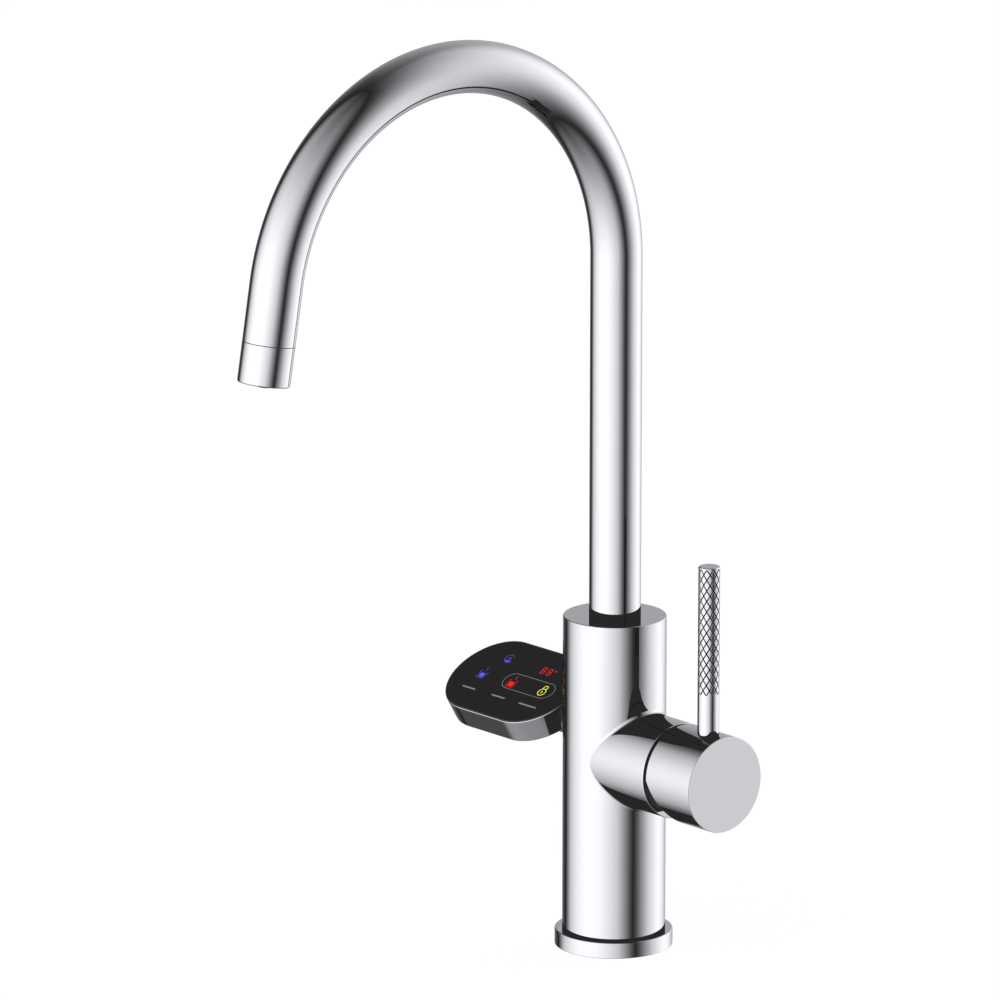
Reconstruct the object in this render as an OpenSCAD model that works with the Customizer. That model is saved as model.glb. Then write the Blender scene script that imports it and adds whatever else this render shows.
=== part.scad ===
// Boiling water tap: column with side mixer handle, swan-neck spout and tilted touch panel.
// Origin on the column axis at the worktop. +Z up, spout towards -Y, handle towards +X.

/* [Column] */
// Outside diameter of the upright column
column_d = 48; // [44:0.5:54]
// Height of the column's flat top above the worktop
column_top = 158; // [140:1:180]
// Bore of the hollow lower part of the column
column_bore_d = 38; // [30:0.5:42]
// Height where the hollow part ends and the waterway block begins
block_z = 60; // [40:1:70]
// Rounding of the column's top rim
column_edge = 0.6; // [0.2:0.1:2]

/* [Base] */
// Outside diameter of the base flange
base_d = 55; // [50:0.5:65]
// Height of the base flange's top above the worktop
base_h = 7.7; // [6:0.1:14]
// Diameter of the spigot where the column enters the flange
spigot_d = 42; // [38:0.5:46]
// Thickness of the rubber base gasket
gasket_h = 2.5; // [1:0.1:4]
// Width of the rubber base gasket
gasket_w = 2.6; // [1.5:0.1:3]
// How far the gasket lies inside the flange's edge
gasket_in = 1.2; // [0.8:0.1:2]
// How far the gasket stands below the metal flange
gasket_proud = 0.1; // [0.1:0.1:1]
// Chamfer on the flange's upper rim
base_edge = 0.7; // [0.2:0.1:2]

/* [Inlets] */
// Thickness of the inlet manifold
manifold_h = 14; // [10:0.5:20]
// Drill radius of the M10 x 1 hose ports
port_r = 4.5; // [4:0.1:6]
// Depth of the hose ports
port_depth = 9; // [6:0.5:12]
// Hot and cold port position along X
port_x = 9.5; // [8:0.1:11]
// Hot and cold port offset either side of the axis
port_y = 7; // [6:0.1:9]
// Drill radius of the M6 stud holes
stud_r = 2.5; // [2:0.1:4]
// Depth of the stud holes
stud_depth = 12; // [8:0.5:13]
// Stud hole position along X
stud_x = -4; // [-6:0.1:-2]
// Stud hole offset either side of the axis
stud_y = 12; // [10:0.1:13]
// Position of the cable hole along X
cable_x = -12; // [-13:0.1:-10]
// Radius of the cable hole
cable_hole_r = 3; // [2:0.1:4]
// Radius of the cable passage in the grommet
cable_r = 1.8; // [1:0.1:2.5]
// Height of the cable grommet
grommet_h = 6; // [4:0.5:10]
// Outside radius of the riser pipes
riser_r = 4; // [3:0.1:5]
// Section radius of the manifold seal
seal_r = 0.9; // [0.6:0.1:1.2]
// Wall of the riser pipes
riser_wall = 1; // [0.5:0.1:1.5]
// Depth of each riser pipe socket
riser_socket = 4; // [3:0.5:8]

/* [Spout] */
// Outside diameter of the spout tube
spout_d = 24; // [20:0.5:30]
// Wall of the spout tube
spout_wall = 1.2; // [0.8:0.1:2]
// Height where the swan-neck bend starts
arc_z = 327.7; // [280:0.5:360]
// Bend radius on the tube's centre line
arc_r = 101.5; // [80:0.5:130]
// Angle swept by the bend
arc_angle = 170.3; // [150:0.1:180]
// Straight length from the end of the bend to the outlet rim
tip_len = 45.2; // [30:0.1:60]
// Length of the outlet sleeve
sleeve_len = 18.2; // [10:0.1:30]
// Groove between the tube and the outlet sleeve
sleeve_seam = 0.3; // [0.1:0.05:0.6]
// Height where the tube ends inside the column
tube_end_z = 150; // [140:1:156]
// Height of the swivel insert's lower end
swivel_z = 122; // [120:0.5:126]
// Height of the spout socket's floor
socket_z = 118; // [115:0.5:121]
// Lower O-ring groove, measured down from the tube's end
seal_down1 = 17.6; // [15:0.1:18]
// Upper O-ring groove, measured down from the tube's end
seal_down2 = 6.6; // [6:0.1:8]
// Lower slip ring groove, measured down from the tube's end
slip_down1 = 12.5; // [11:0.1:13]
// Upper slip ring groove, measured down from the tube's end
slip_down2 = 3; // [2.8:0.1:3.5]
// Height of the O-ring grooves
seal_groove_h = 2.8; // [2.6:0.1:3]
// Height of the slip rings
slip_h = 2.5; // [2:0.1:3]
// Bore radius of the swivel insert
swivel_bore_r = 8; // [6:0.1:9]
// How far the spout turns to either side
swivel_half = 90; // [45:1:170]
// Height of the stop groove's middle
stop_z = 127.5; // [125:0.1:132]
// Radius of the stop screw's tip
stop_tip_r = 1.5; // [1:0.1:2]
// Depth of the stop groove
stop_depth = 1.6; // [1:0.1:2]
// Radius of the stop screw's thread
stop_screw_r = 2.5; // [2:0.1:3]

/* [Inner hose and outlet] */
// Outside radius of the inner hose
hose_r = 4; // [3:0.1:5]
// Bore radius of the inner hose
hose_bore_r = 2.5; // [2:0.1:3]
// Height where the inner hose starts
hose_z = 15; // [14.5:0.5:18]
// How far the nozzle stands out of the outlet rim
nozzle_proud = 1.4; // [0:0.1:3]
// Outside radius of the nozzle
nozzle_r = 3; // [2.6:0.1:4]
// Bore radius of the nozzle
nozzle_bore_r = 1.6; // [1:0.1:2]
// How far the aerator sits inside the rim
aerator_in = 1; // [0.5:0.1:3]
// Thickness of the aerator grille
aerator_h = 5; // [3:0.5:8]

/* [Mixer handle] */
// Height of the handle axis
handle_z = 92.7; // [80:0.1:110]
// Diameter of the side boss and the handle cap
handle_d = 45; // [42:0.5:50]
// Distance from the column axis to the end of the boss
boss_x = 45.3; // [42:0.1:50]
// Gap between the boss and the handle cap
handle_gap = 2.1; // [1:0.1:3]
// Distance from the column axis to the cap's outer face
cap_x = 76.5; // [70:0.1:85]
// Slope of the cap's lower inner rim, which lets the cap tilt
bevel_angle = 25.6; // [15:0.1:30]
// Wall of the handle cap
cap_wall = 2; // [1.5:0.1:3]
// Where the cap's hollow ends
cap_hollow_x = 60; // [58:0.5:64]
// Diameter of the lever pin
lever_d = 10; // [8:0.5:14]
// Lever position along X
lever_x = 65; // [60:0.5:70]
// Height of the lever's top above the handle axis
lever_top = 101.3; // [60:0.5:120]
// Radius of the lever's threaded spigot
lever_spigot_r = 3; // [2:0.1:4]
// Depth of the pocket that takes the lever's foot
lever_pocket = 2; // [1:0.1:4]
// Radius of the handle's grub screw
grub_r = 2.5; // [2:0.1:3]

/* [Cartridge] */
// Distance from the column axis to the cartridge seat
seat_x = 14; // [12:0.5:16]
// Radius of the cartridge housing
cart_r = 17.4; // [15:0.1:20]
// Length of the cartridge housing
cart_len = 21.6; // [18:0.1:26]
// Wall of the cartridge housing
cart_wall = 1.6; // [1:0.1:2]
// Pivot of the spindle along X
pivot_x = 38; // [36:0.1:40]
// Distance from the pivot to the ball of the spindle
ball_arm = 11.8; // [10:0.1:13]
// Radius of the spindle's ball
ball_r = 2.4; // [2:0.1:3]
// Width of the square spindle
spindle_w = 8; // [6:0.5:10]
// Radius of the pivot pin
pivot_r = 2; // [1.5:0.1:2.5]
// Thickness of each ceramic disc
disc_h = 3; // [2:0.1:4]
// Radius of the retaining nut
nut_r = 19; // [18:0.1:20]
// Length of the retaining nut's thread
nut_h = 5.5; // [4:0.1:7]
// Length of the nut's hub for the spanner
nut_hub_h = 4; // [3:0.1:5]
// Width of the spanner flats
nut_flat_w = 10; // [8:0.5:12]
// Radius of the cover's collar, seen in the handle gap
collar_r = 19.8; // [19:0.1:20]
// Radius of the cover's ball shoulder about the pivot
cover_r = 20; // [19.9:0.1:20.2]
// Distance from the pivot to the cover's open front
cover_end = 14.3; // [13:0.1:15]
// Wall of the cover
cover_wall = 2; // [1:0.1:2.2]

/* [Touch panel] */
// End radius of the panel, half its width
panel_r = 24.1; // [18:0.1:30]
// Length of the panel's straight sides
panel_flat = 30.6; // [20:0.1:40]
// Thickness of the panel
panel_h = 12.1; // [8:0.1:15]
// Tilt of the panel towards the user
panel_tilt = 30.5; // [0:0.1:45]
// Position of the panel's centre along X
panel_x = -67.9; // [-80:0.1:-60]
// Height of the panel's centre
panel_z = 107.2; // [95:0.1:120]
// Radius of the stem that carries the panel
stem_r = 6.6; // [5:0.1:8]
// Height of the stem's axis
stem_z = 100.8; // [95:0.1:110]
// Wall of the panel housing
panel_wall = 2; // [1.2:0.1:3]
// Floor of the panel housing
panel_floor = 1.8; // [1:0.1:3]
// Thickness of the glass
glass_h = 2; // [1:0.1:3]
// Width of the bright rim round the glass
panel_rim = 0.6; // [0.3:0.1:1.5]
// Chamfer on the glass
glass_edge = 0.3; // [0.1:0.1:0.5]
// Thickness of the circuit board
board_h = 1; // [0.8:0.1:1.6]
// Width of the display along the panel
display_w = 13.6; // [12:0.1:14]
// Height of the display across the panel
display_l = 8.4; // [6:0.1:10]
// Display's centre along the panel
display_x = 14.2; // [8:0.1:16]
// Display's centre across the panel
display_y = 11.2; // [10:0.1:13]
// Radius of each light guide
guide_r = 3; // [2:0.1:3.5]
// Height of the display and the light guides on the board
guide_h = 0.6; // [0.4:0.1:0.6]
// Row of the three lower lights across the panel
light_y = -0.9; // [-2:0.1:2]
// Left light along the panel
light_x1 = -21; // [-24:0.1:-19]
// Middle light along the panel
light_x2 = -0.2; // [-3:0.1:3]
// Right light along the panel
light_x3 = 21.4; // [18:0.1:23]
// Upper light along the panel
light_x4 = -14.8; // [-18:0.1:-12]
// Upper light across the panel
light_y4 = 11.9; // [11:0.1:13]

/* [Hidden] */
$fn = 96;
// clearances
run_gap = 0.06;      // running fit on radius
seat_gap = 0.05;     // seated fit on radius
slide_gap = 0.03;    // between the ceramic discs
free_gap = 0.3;      // between parts that only pass each other
e = 0.01;            // overlap used for clean cuts
lap = 1;             // how far the straight tip runs into the bend
step = 0.02;         // step in radius where it does
column_r = column_d / 2;
gasket_r = base_d / 2 - gasket_in;
spout_r = spout_d / 2;
tube_in_r = spout_r - spout_wall;
handle_r = handle_d / 2;
cap_in_x = boss_x + handle_gap;
cap_bore_r = handle_r - cap_wall;
socket_r = spout_r + run_gap;
groove_r = spout_r - 2.3;
stop_r = spout_r - stop_depth;
stop_half = swivel_half + asin((stop_tip_r + 0.1) / stop_r);
stop_h = 2 * stop_tip_r + 0.6;
cart_x = seat_x + 0.4;
cart_end = cart_x + cart_len;
cart_in_r = cart_r - cart_wall;
cart_floor = 3;
fixed_x = cart_x + cart_floor;
moving_x = fixed_x + disc_h + slide_gap;
carrier_x = moving_x + disc_h;
carrier_h = 4;
carrier_r = 12;
carrier_flat = 9.5;
carrier_shift = 2;
rotor_x = carrier_x + carrier_h + 0.6;
rotor_flange_end = cart_end - 2.8;
rotor_end = pivot_x + 5;
rotor_r = 12.9;
rotor_flange_r = cart_in_r - 0.4;
neck_hole_r = rotor_r + free_gap;
ball_x = pivot_x - ball_arm;
slot_w = spindle_w + 0.4;
nut_end = cart_end + nut_h;
nut_hub_r = 17.6;
cover_x = cap_in_x - 0.2;
hub_r = 9;
hub_x = pivot_x + 19.5;
socket_w = spindle_w + 2 * seat_gap;
spindle_end = cap_hollow_x + 6.5;
lever_foot_z = handle_r - lever_pocket;
riser_top = block_z + riser_socket;
inlet_dz = -5;
outlet_dz = 8;
way_r = 3;
duct_x = -15.5;
duct_r = 3;
stem_bore_r = 3.5;
stem_screw_r = 5;
stem_in_x = duct_x - 1.5;
stem_face_x = -(column_r - 1.2);
stem_end_x = -52;
glass_z = panel_h / 2;
glass_r = panel_r - panel_rim - seat_gap;
ledge_z = glass_z - glass_h - 0.4;
board_z = ledge_z - board_h - 0.3;
board_r = panel_r - panel_wall - 1.6;
floor_z = -panel_h / 2 + panel_floor;
post_x = 23.2;
post_y = 11.5;
stem_w = (stem_z - panel_z) * sin(panel_tilt);
stem_n = (stem_z - panel_z) * cos(panel_tilt);
keel_r = stem_r + 1.4;
keel_start = -42;
keel_end = stem_end_x - 3;

// ---- frames -------------------------------------------------------------
// along the handle axis: local z runs out along +X, local x points down
module handle_frame(x = 0) {
    translate([x, 0, handle_z]) rotate([0, 90, 0]) children();
}

// profile in the handle's upright plane: local x is world X, local y is world Z
module handle_plane(width) {
    translate([0, width / 2, handle_z]) rotate([90, 0, 0]) linear_extrude(width) children();
}

// round the bend: local x is the bend's radius
module bend(section_r, from = 0, to = arc_angle) {
    translate([0, -arc_r, arc_z]) rotate([90, 0, 90]) rotate([0, 0, from])
        rotate_extrude(angle = to - from) translate([arc_r, 0]) circle(section_r);
}

// at the end of the bend: local z runs along the straight tip
module tip_frame(z = 0) {
    translate([0, -arc_r, arc_z]) rotate([90, 0, 90]) rotate([0, 0, arc_angle])
        translate([arc_r, 0, 0]) rotate([-90, 0, 0]) translate([0, 0, z]) children();
}

// the tilted panel: local z is its face normal
module panel_frame() {
    translate([panel_x, 0, panel_z]) rotate([panel_tilt, 0, 0]) children();
}

// round bar from one height to another on the column axis
module rod(r, z0, z1, x = 0, y = 0) {
    translate([x, y, z0]) cylinder(r = r, h = z1 - z0);
}

// round bar along the handle axis from x0 to x1
module bar(r, x0, x1, y = 0, dz = 0) {
    translate([x0, y, handle_z + dz]) rotate([0, 90, 0]) cylinder(r = r, h = x1 - x0);
}

module ring(r_out, r_in, h) {
    rotate_extrude() translate([r_in, 0]) square([r_out - r_in, h]);
}

// stadium outline along X
module stadium(r) {
    union() {
        translate([-panel_flat / 2, 0]) circle(r);
        translate([panel_flat / 2, 0]) circle(r);
        translate([-panel_flat / 2, -r]) square([panel_flat, 2 * r]);
    }
}

// stadium solid from z0 to z1
module stadium_solid(r, z0, z1) {
    translate([0, 0, z0]) linear_extrude(z1 - z0) stadium(r);
}

// stadium edge chamfer: r0 at z0, r1 at z1
module stadium_taper(r0, r1, z0, z1) {
    for (s = [-1, 1]) translate([s * panel_flat / 2, 0, z0]) cylinder(r1 = r0, r2 = r1, h = z1 - z0);
    rotate([90, 0, 90]) translate([0, 0, -panel_flat / 2]) linear_extrude(panel_flat)
        polygon([[-r0, z0], [r0, z0], [r1, z1], [-r1, z1]]);
}

// ---- base ---------------------------------------------------------------
module base_gasket() {
    color([0.07, 0.07, 0.08]) ring(gasket_r, gasket_r - gasket_w, gasket_h);
}

module base_flange() {
    color([0.86, 0.87, 0.89]) difference() {
        rotate_extrude() polygon([
            [spigot_d / 2 + seat_gap, gasket_proud],
            [base_d / 2 - 0.3, gasket_proud],
            [base_d / 2, gasket_proud + 0.3],
            [base_d / 2, base_h - base_edge],
            [base_d / 2 - base_edge, base_h],
            [spigot_d / 2 + seat_gap, base_h]
        ]);
        // groove for the gasket
        translate([0, 0, -e]) ring(gasket_r + seat_gap, gasket_r - gasket_w - seat_gap, gasket_h + e);
    }
}

module inlet_manifold() {
    color([0.78, 0.66, 0.40]) difference() {
        union() {
            rod(column_bore_d / 2 - seat_gap, 0, manifold_h);
            rod(spigot_d / 2, 0, 2);
            // nipple for the inner hose
            rod(hose_bore_r - seat_gap, manifold_h - e, manifold_h + 10);
        }
        // filtered water port and passage
        rod(port_r, -e, port_depth);
        rod(1.6, port_depth - e, manifold_h + 10 + e);
        // hot and cold ports with the riser sockets above them
        for (s = [-1, 1]) {
            rod(port_r, -e, port_depth, port_x, s * port_y);
            rod(riser_r - riser_wall, port_depth - e, manifold_h + e, port_x, s * port_y);
            rod(riser_r + seat_gap, manifold_h - riser_socket, manifold_h + e, port_x, s * port_y);
            rod(stud_r, -e, stud_depth, stud_x, s * stud_y);
        }
        rod(cable_hole_r, -e, manifold_h + e, cable_x);
        // groove for the manifold seal
        translate([0, 0, 8]) ring(column_bore_d / 2 + 1, column_bore_d / 2 - 2 * seal_r - 0.1, 2 * seal_r + 0.6);
    }
}

module manifold_seal() {
    color([0.06, 0.06, 0.06]) translate([0, 0, 8.3 + seal_r]) rotate_extrude()
        translate([column_bore_d / 2 - seat_gap - seal_r, 0]) circle(seal_r, $fn = 32);
}

module cable_grommet() {
    color([0.07, 0.07, 0.08]) translate([cable_x, 0, 0]) ring(cable_hole_r, cable_r, grommet_h);
}

module riser_pipes() {
    color([0.80, 0.50, 0.32]) for (s = [-1, 1])
        translate([port_x, s * port_y, manifold_h - riser_socket])
            ring(riser_r, riser_r - riser_wall, riser_top - manifold_h + riser_socket);
}

// ---- column -------------------------------------------------------------
module tap_column() {
    color([0.86, 0.87, 0.89]) difference() {
        union() {
            rotate_extrude() union() {
                square([spigot_d / 2, base_h + 1]);
                translate([0, base_h]) square([column_r, column_top - base_h - column_edge]);
                translate([0, base_h]) square([column_r - column_edge, column_top - base_h]);
                translate([column_r - column_edge, column_top - column_edge]) circle(column_edge, $fn = 48);
            }
            // side boss
            handle_frame() rotate_extrude() union() {
                square([handle_r, boss_x - 0.4]);
                square([handle_r - 0.4, boss_x]);
                translate([handle_r - 0.4, boss_x - 0.4]) circle(0.4, $fn = 32);
            }
        }
        // manifold bore and flange step
        rod(spigot_d / 2 + 1, -e, 2);
        rod(column_bore_d / 2, 0, block_z);
        // inner hose channel
        rod(hose_r + 0.5, block_z - e, socket_z + e);
        // spout socket
        rod(socket_r, socket_z, column_top + e);
        // riser sockets and supply ways
        for (s = [-1, 1]) {
            rod(riser_r + seat_gap, block_z - e, riser_top, port_x, s * port_y);
            rod(way_r, riser_top - e, handle_z + inlet_dz + way_r, port_x, s * port_y);
            bar(way_r - 0.2, port_x, seat_x + e, s * port_y, inlet_dz);
        }
        // mixed water way up to the spout socket
        bar(way_r, port_x - 1, seat_x + e, 0, outlet_dz);
        rod(way_r, handle_z + outlet_dz, socket_z + e, port_x - 1);
        // cartridge bore, nut thread and cover recess
        bar(cart_r + 0.1, seat_x, boss_x);
        bar(nut_r + seat_gap, cart_end, boss_x + e);
        bar(collar_r + 0.2, nut_end - 1.5, boss_x + e);
        // cable duct and stem thread
        rod(duct_r, block_z - e, stem_z, duct_x);
        translate([-column_r - e, 0, stem_z]) rotate([0, 90, 0])
            cylinder(r = stem_screw_r + seat_gap, h = column_r + duct_x);
        translate([-column_r - 1, 0, stem_z]) rotate([0, 90, 0])
            cylinder(r = stem_r + seat_gap, h = column_r + stem_face_x + 1);
        // stop screw
        translate([0, 0, stop_z]) rotate([-90, 0, 0]) cylinder(r = stop_screw_r + seat_gap, h = column_r + 1);
    }
}

module stop_screw() {
    color([0.55, 0.56, 0.58]) translate([0, 0, stop_z]) rotate([-90, 0, 0]) difference() {
        union() {
            translate([0, 0, stop_r + 0.3]) cylinder(r = stop_tip_r, h = 3);
            translate([0, 0, spout_r + 1]) cylinder(r = stop_screw_r, h = column_r - spout_r - 2);
        }
        // hexagon socket
        translate([0, 0, column_r - 3.5]) cylinder(r = 1.45, h = 4, $fn = 6);
    }
}

// ---- spout --------------------------------------------------------------
module spout_tube() {
    tube_tip = tip_len - sleeve_len - sleeve_seam;
    color([0.86, 0.87, 0.89]) difference() {
        union() {
            rod(spout_r, tube_end_z, arc_z);
            bend(spout_r);
            tip_frame(-lap) cylinder(r = spout_r - step, h = tube_tip + lap);
        }
        rod(tube_in_r, tube_end_z - 1, arc_z);
        bend(tube_in_r);
        tip_frame(-lap) cylinder(r = tube_in_r + step, h = tube_tip + 2);
    }
}

module swivel_insert() {
    color([0.78, 0.66, 0.40]) difference() {
        union() {
            rod(spout_r, swivel_z, tube_end_z);
            rod(tube_in_r - seat_gap, tube_end_z - e, tube_end_z + 12);
        }
        rod(swivel_bore_r, swivel_z - 1, tube_end_z + 13);
        // O-ring grooves
        for (d = [seal_down1, seal_down2]) translate([0, 0, tube_end_z - d])
            ring(spout_r + 1, groove_r, seal_groove_h);
        // slip ring grooves
        for (d = [slip_down1, slip_down2]) translate([0, 0, tube_end_z - d])
            ring(spout_r + 1, spout_r - 1.1, slip_h + 2 * seat_gap);
        // stop groove, open only as far as the spout may turn
        translate([0, 0, stop_z - stop_h / 2]) rotate([0, 0, 90 - stop_half])
            rotate_extrude(angle = 2 * stop_half) translate([stop_r, 0]) square([stop_depth + 1, stop_h]);
    }
}

module spout_seals() {
    color([0.06, 0.06, 0.06]) for (d = [seal_down1, seal_down2])
        translate([0, 0, tube_end_z - d + seal_groove_h / 2]) rotate_extrude() translate([groove_r + 1.17, 0]) circle(1.15, $fn = 32);
}

module slip_rings() {
    color([0.93, 0.93, 0.90]) for (d = [slip_down1, slip_down2])
        translate([0, 0, tube_end_z - d + seat_gap]) ring(spout_r + 0.02, spout_r - 1.08, slip_h);
}

module inner_hose() {
    hose_tip = tip_len - aerator_in - aerator_h - 3;
    color([0.90, 0.90, 0.86]) difference() {
        union() {
            rod(hose_r, hose_z, arc_z);
            bend(hose_r);
            tip_frame(-lap) cylinder(r = hose_r - step, h = hose_tip + lap);
        }
        rod(hose_bore_r, hose_z - 1, arc_z);
        bend(hose_bore_r);
        tip_frame(-lap) cylinder(r = hose_bore_r + step, h = hose_tip + 2);
    }
}

module outlet_sleeve() {
    color([0.86, 0.87, 0.89]) tip_frame(tip_len - sleeve_len) rotate_extrude() difference() {
        union() {
            translate([spout_r - 2.5, 0]) square([2.5, sleeve_len - 0.8]);
            translate([spout_r - 2.5, 0]) square([1.7, sleeve_len]);
            translate([spout_r - 0.8, sleeve_len - 0.8]) circle(0.8, $fn = 32);
            // spigot that enters the tube
            translate([spout_r - 2.5, -8]) square([2.5 - spout_wall - seat_gap, 8.5]);
        }
    }
}

module aerator() {
    color([0.55, 0.57, 0.60]) tip_frame(tip_len - aerator_in - aerator_h) difference() {
        union() {
            ring(spout_r - 2.55, spout_r - 4.2, aerator_h);
            translate([0, 0, aerator_h - 1.6]) cylinder(r = spout_r - 4, h = 1.6);
            cylinder(r = nozzle_r + 1.2, h = aerator_h);
        }
        translate([0, 0, -1]) cylinder(r = nozzle_r + seat_gap, h = aerator_h + 2);
        // outlet holes of the grille
        for (a = [0 : 20 : 340]) rotate([0, 0, a]) translate([6.4, 0, -1]) cylinder(r = 0.65, h = aerator_h + 2, $fn = 24);
        for (a = [10 : 24 : 350]) rotate([0, 0, a]) translate([4.95, 0, aerator_h - 3]) cylinder(r = 0.5, h = 4, $fn = 24);
    }
}

module nozzle() {
    color([0.20, 0.21, 0.22]) tip_frame(tip_len - aerator_in - aerator_h) difference() {
        union() {
            cylinder(r = nozzle_r, h = aerator_h + aerator_in + nozzle_proud - 0.5);
            cylinder(r = nozzle_r - 0.5, h = aerator_h + aerator_in + nozzle_proud);
            translate([0, 0, -3 + e]) cylinder(r = nozzle_r, h = 3);
            // barb inside the hose
            translate([0, 0, -12]) cylinder(r = hose_bore_r - seat_gap, h = 10);
        }
        translate([0, 0, -13]) cylinder(r = nozzle_bore_r, h = 30);
    }
}

// ---- mixer cartridge ----------------------------------------------------
// ports through a disc: hot and cold supply, mixed water return
module cart_ports(x0, x1, grow = 0) {
    for (s = [-1, 1]) bar(2.8 + grow, x0, x1, s * port_y, inlet_dz);
    bar(way_r + grow, x0, x1, 0, outlet_dz);
}

module cartridge_housing() {
    color([0.20, 0.21, 0.23]) difference() {
        bar(cart_r, cart_x, cart_end);
        bar(cart_in_r, cart_x + cart_floor, cart_end - 2.5);
        bar(neck_hole_r, cart_end - 3, cart_end + 1);
        cart_ports(cart_x - 1, fixed_x + 1);
        // seats of the port seals
        cart_ports(cart_x - 1, cart_x + 1.1, 1.4);
    }
}

module cartridge_seals() {
    color([0.10, 0.10, 0.45]) {
        for (s = [-1, 1]) translate([seat_x + 0.05, s * port_y, handle_z + inlet_dz])
            rotate([0, 90, 0]) ring(4.1, 2.8, 1.4);
        translate([seat_x + 0.05, 0, handle_z + outlet_dz]) rotate([0, 90, 0]) ring(way_r + 1.3, way_r, 1.4);
    }
}

module fixed_disc() {
    color([0.95, 0.95, 0.93]) difference() {
        bar(cart_in_r - 0.2, fixed_x, fixed_x + disc_h);
        cart_ports(fixed_x - 1, fixed_x + disc_h + 1);
    }
}

// round plate with two flats, shifted down so that it clears the housing when open
module carrier_plate(r, x0, x1) {
    intersection() {
        bar(r, x0, x1, 0, -carrier_shift);
        translate([x0, -carrier_flat, handle_z - 20]) cube([x1 - x0, 2 * carrier_flat, 40]);
    }
}

module moving_disc() {
    color([0.95, 0.95, 0.93]) difference() {
        carrier_plate(carrier_r, moving_x, carrier_x);
        // mixing recess on the sliding face
        translate([moving_x - 1, -5.5, handle_z - 1.5]) cube([2.5, 11, 7]);
    }
}

module disc_carrier() {
    color([0.85, 0.86, 0.84]) difference() {
        carrier_plate(carrier_r - 0.4, carrier_x, carrier_x + carrier_h);
        bar(ball_r + 0.15, carrier_x - 1, carrier_x + carrier_h + 1);
    }
}

module cartridge_rotor() {
    color([0.16, 0.17, 0.19]) difference() {
        union() {
            bar(rotor_flange_r, rotor_x, rotor_flange_end);
            bar(rotor_r, rotor_flange_end - e, rotor_end);
            // fingers that turn the disc carrier
            for (s = [-1, 1]) translate([moving_x + 0.4, s * 11.3 - 1.45, handle_z - 6])
                cube([rotor_x - moving_x, 2.9, 12]);
        }
        // hourglass slot for the tilting spindle
        handle_plane(slot_w) polygon([
            [rotor_x - 1, -3.4], [rotor_x - 1, 6.9], [rotor_flange_end - 0.5, 6.6],
            [pivot_x - 2, 5.4], [pivot_x + 1, 4.3], [rotor_end + 1, 4.3],
            [rotor_end + 1, -7.2], [pivot_x + 2, -5.6], [pivot_x - 1, -4.3], [rotor_flange_end - 1, -3.6]
        ]);
        // pivot pin bore
        translate([pivot_x, rotor_r + 1, handle_z]) rotate([90, 0, 0])
            cylinder(r = pivot_r + e, h = 2 * rotor_r + 2);
    }
}

module pivot_pin() {
    color([0.70, 0.71, 0.73]) translate([pivot_x, 12, handle_z]) rotate([90, 0, 0])
        cylinder(r = pivot_r, h = 24);
}

module spindle() {
    color([0.72, 0.73, 0.75]) difference() {
        union() {
            translate([pivot_x - 1, -spindle_w / 2, handle_z - spindle_w / 2])
                cube([spindle_end - pivot_x + 1, spindle_w, spindle_w]);
            translate([pivot_x - 6, -spindle_w / 2, handle_z - 3]) cube([7, spindle_w, 6]);
            bar(1.7, ball_x, pivot_x - 5);
            translate([ball_x, 0, handle_z]) sphere(ball_r, $fn = 48);
        }
        translate([pivot_x, spindle_w, handle_z]) rotate([90, 0, 0])
            cylinder(r = pivot_r + seat_gap, h = 2 * spindle_w);
    }
}

module cartridge_nut() {
    color([0.78, 0.66, 0.40]) difference() {
        union() {
            bar(nut_r, cart_end, nut_end);
            bar(nut_hub_r, nut_end - e, nut_end + nut_hub_h);
        }
        bar(neck_hole_r, cart_end - 1, nut_end + nut_hub_h + 1);
        // spanner flats
        for (a = [0 : 60 : 300]) handle_frame(nut_end + nut_hub_h * 0.3) rotate([0, 0, a])
            translate([nut_hub_r - 1.4, -nut_flat_w / 2, 0]) cube([nut_hub_r, nut_flat_w, nut_hub_h]);
    }
}

module cartridge_cover() {
    // turned profile: collar, ball shoulder about the pivot and open front
    p = pivot_x;
    a1 = acos(cover_end / cover_r);
    color([0.86, 0.87, 0.89]) handle_frame() rotate_extrude() difference() {
        union() {
            translate([nut_hub_r + seat_gap, nut_end]) square([collar_r - nut_hub_r - seat_gap, cover_x - nut_end]);
            intersection() {
                translate([0, p]) circle(cover_r);
                translate([cover_r * sin(a1), cover_x - 0.5]) square([cover_r, p + cover_end - cover_x + 0.5]);
            }
        }
        translate([0, p]) circle(cover_r - cover_wall);
        square([nut_hub_r + seat_gap, nut_end + nut_hub_h + 0.4]);
    }
}

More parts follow.
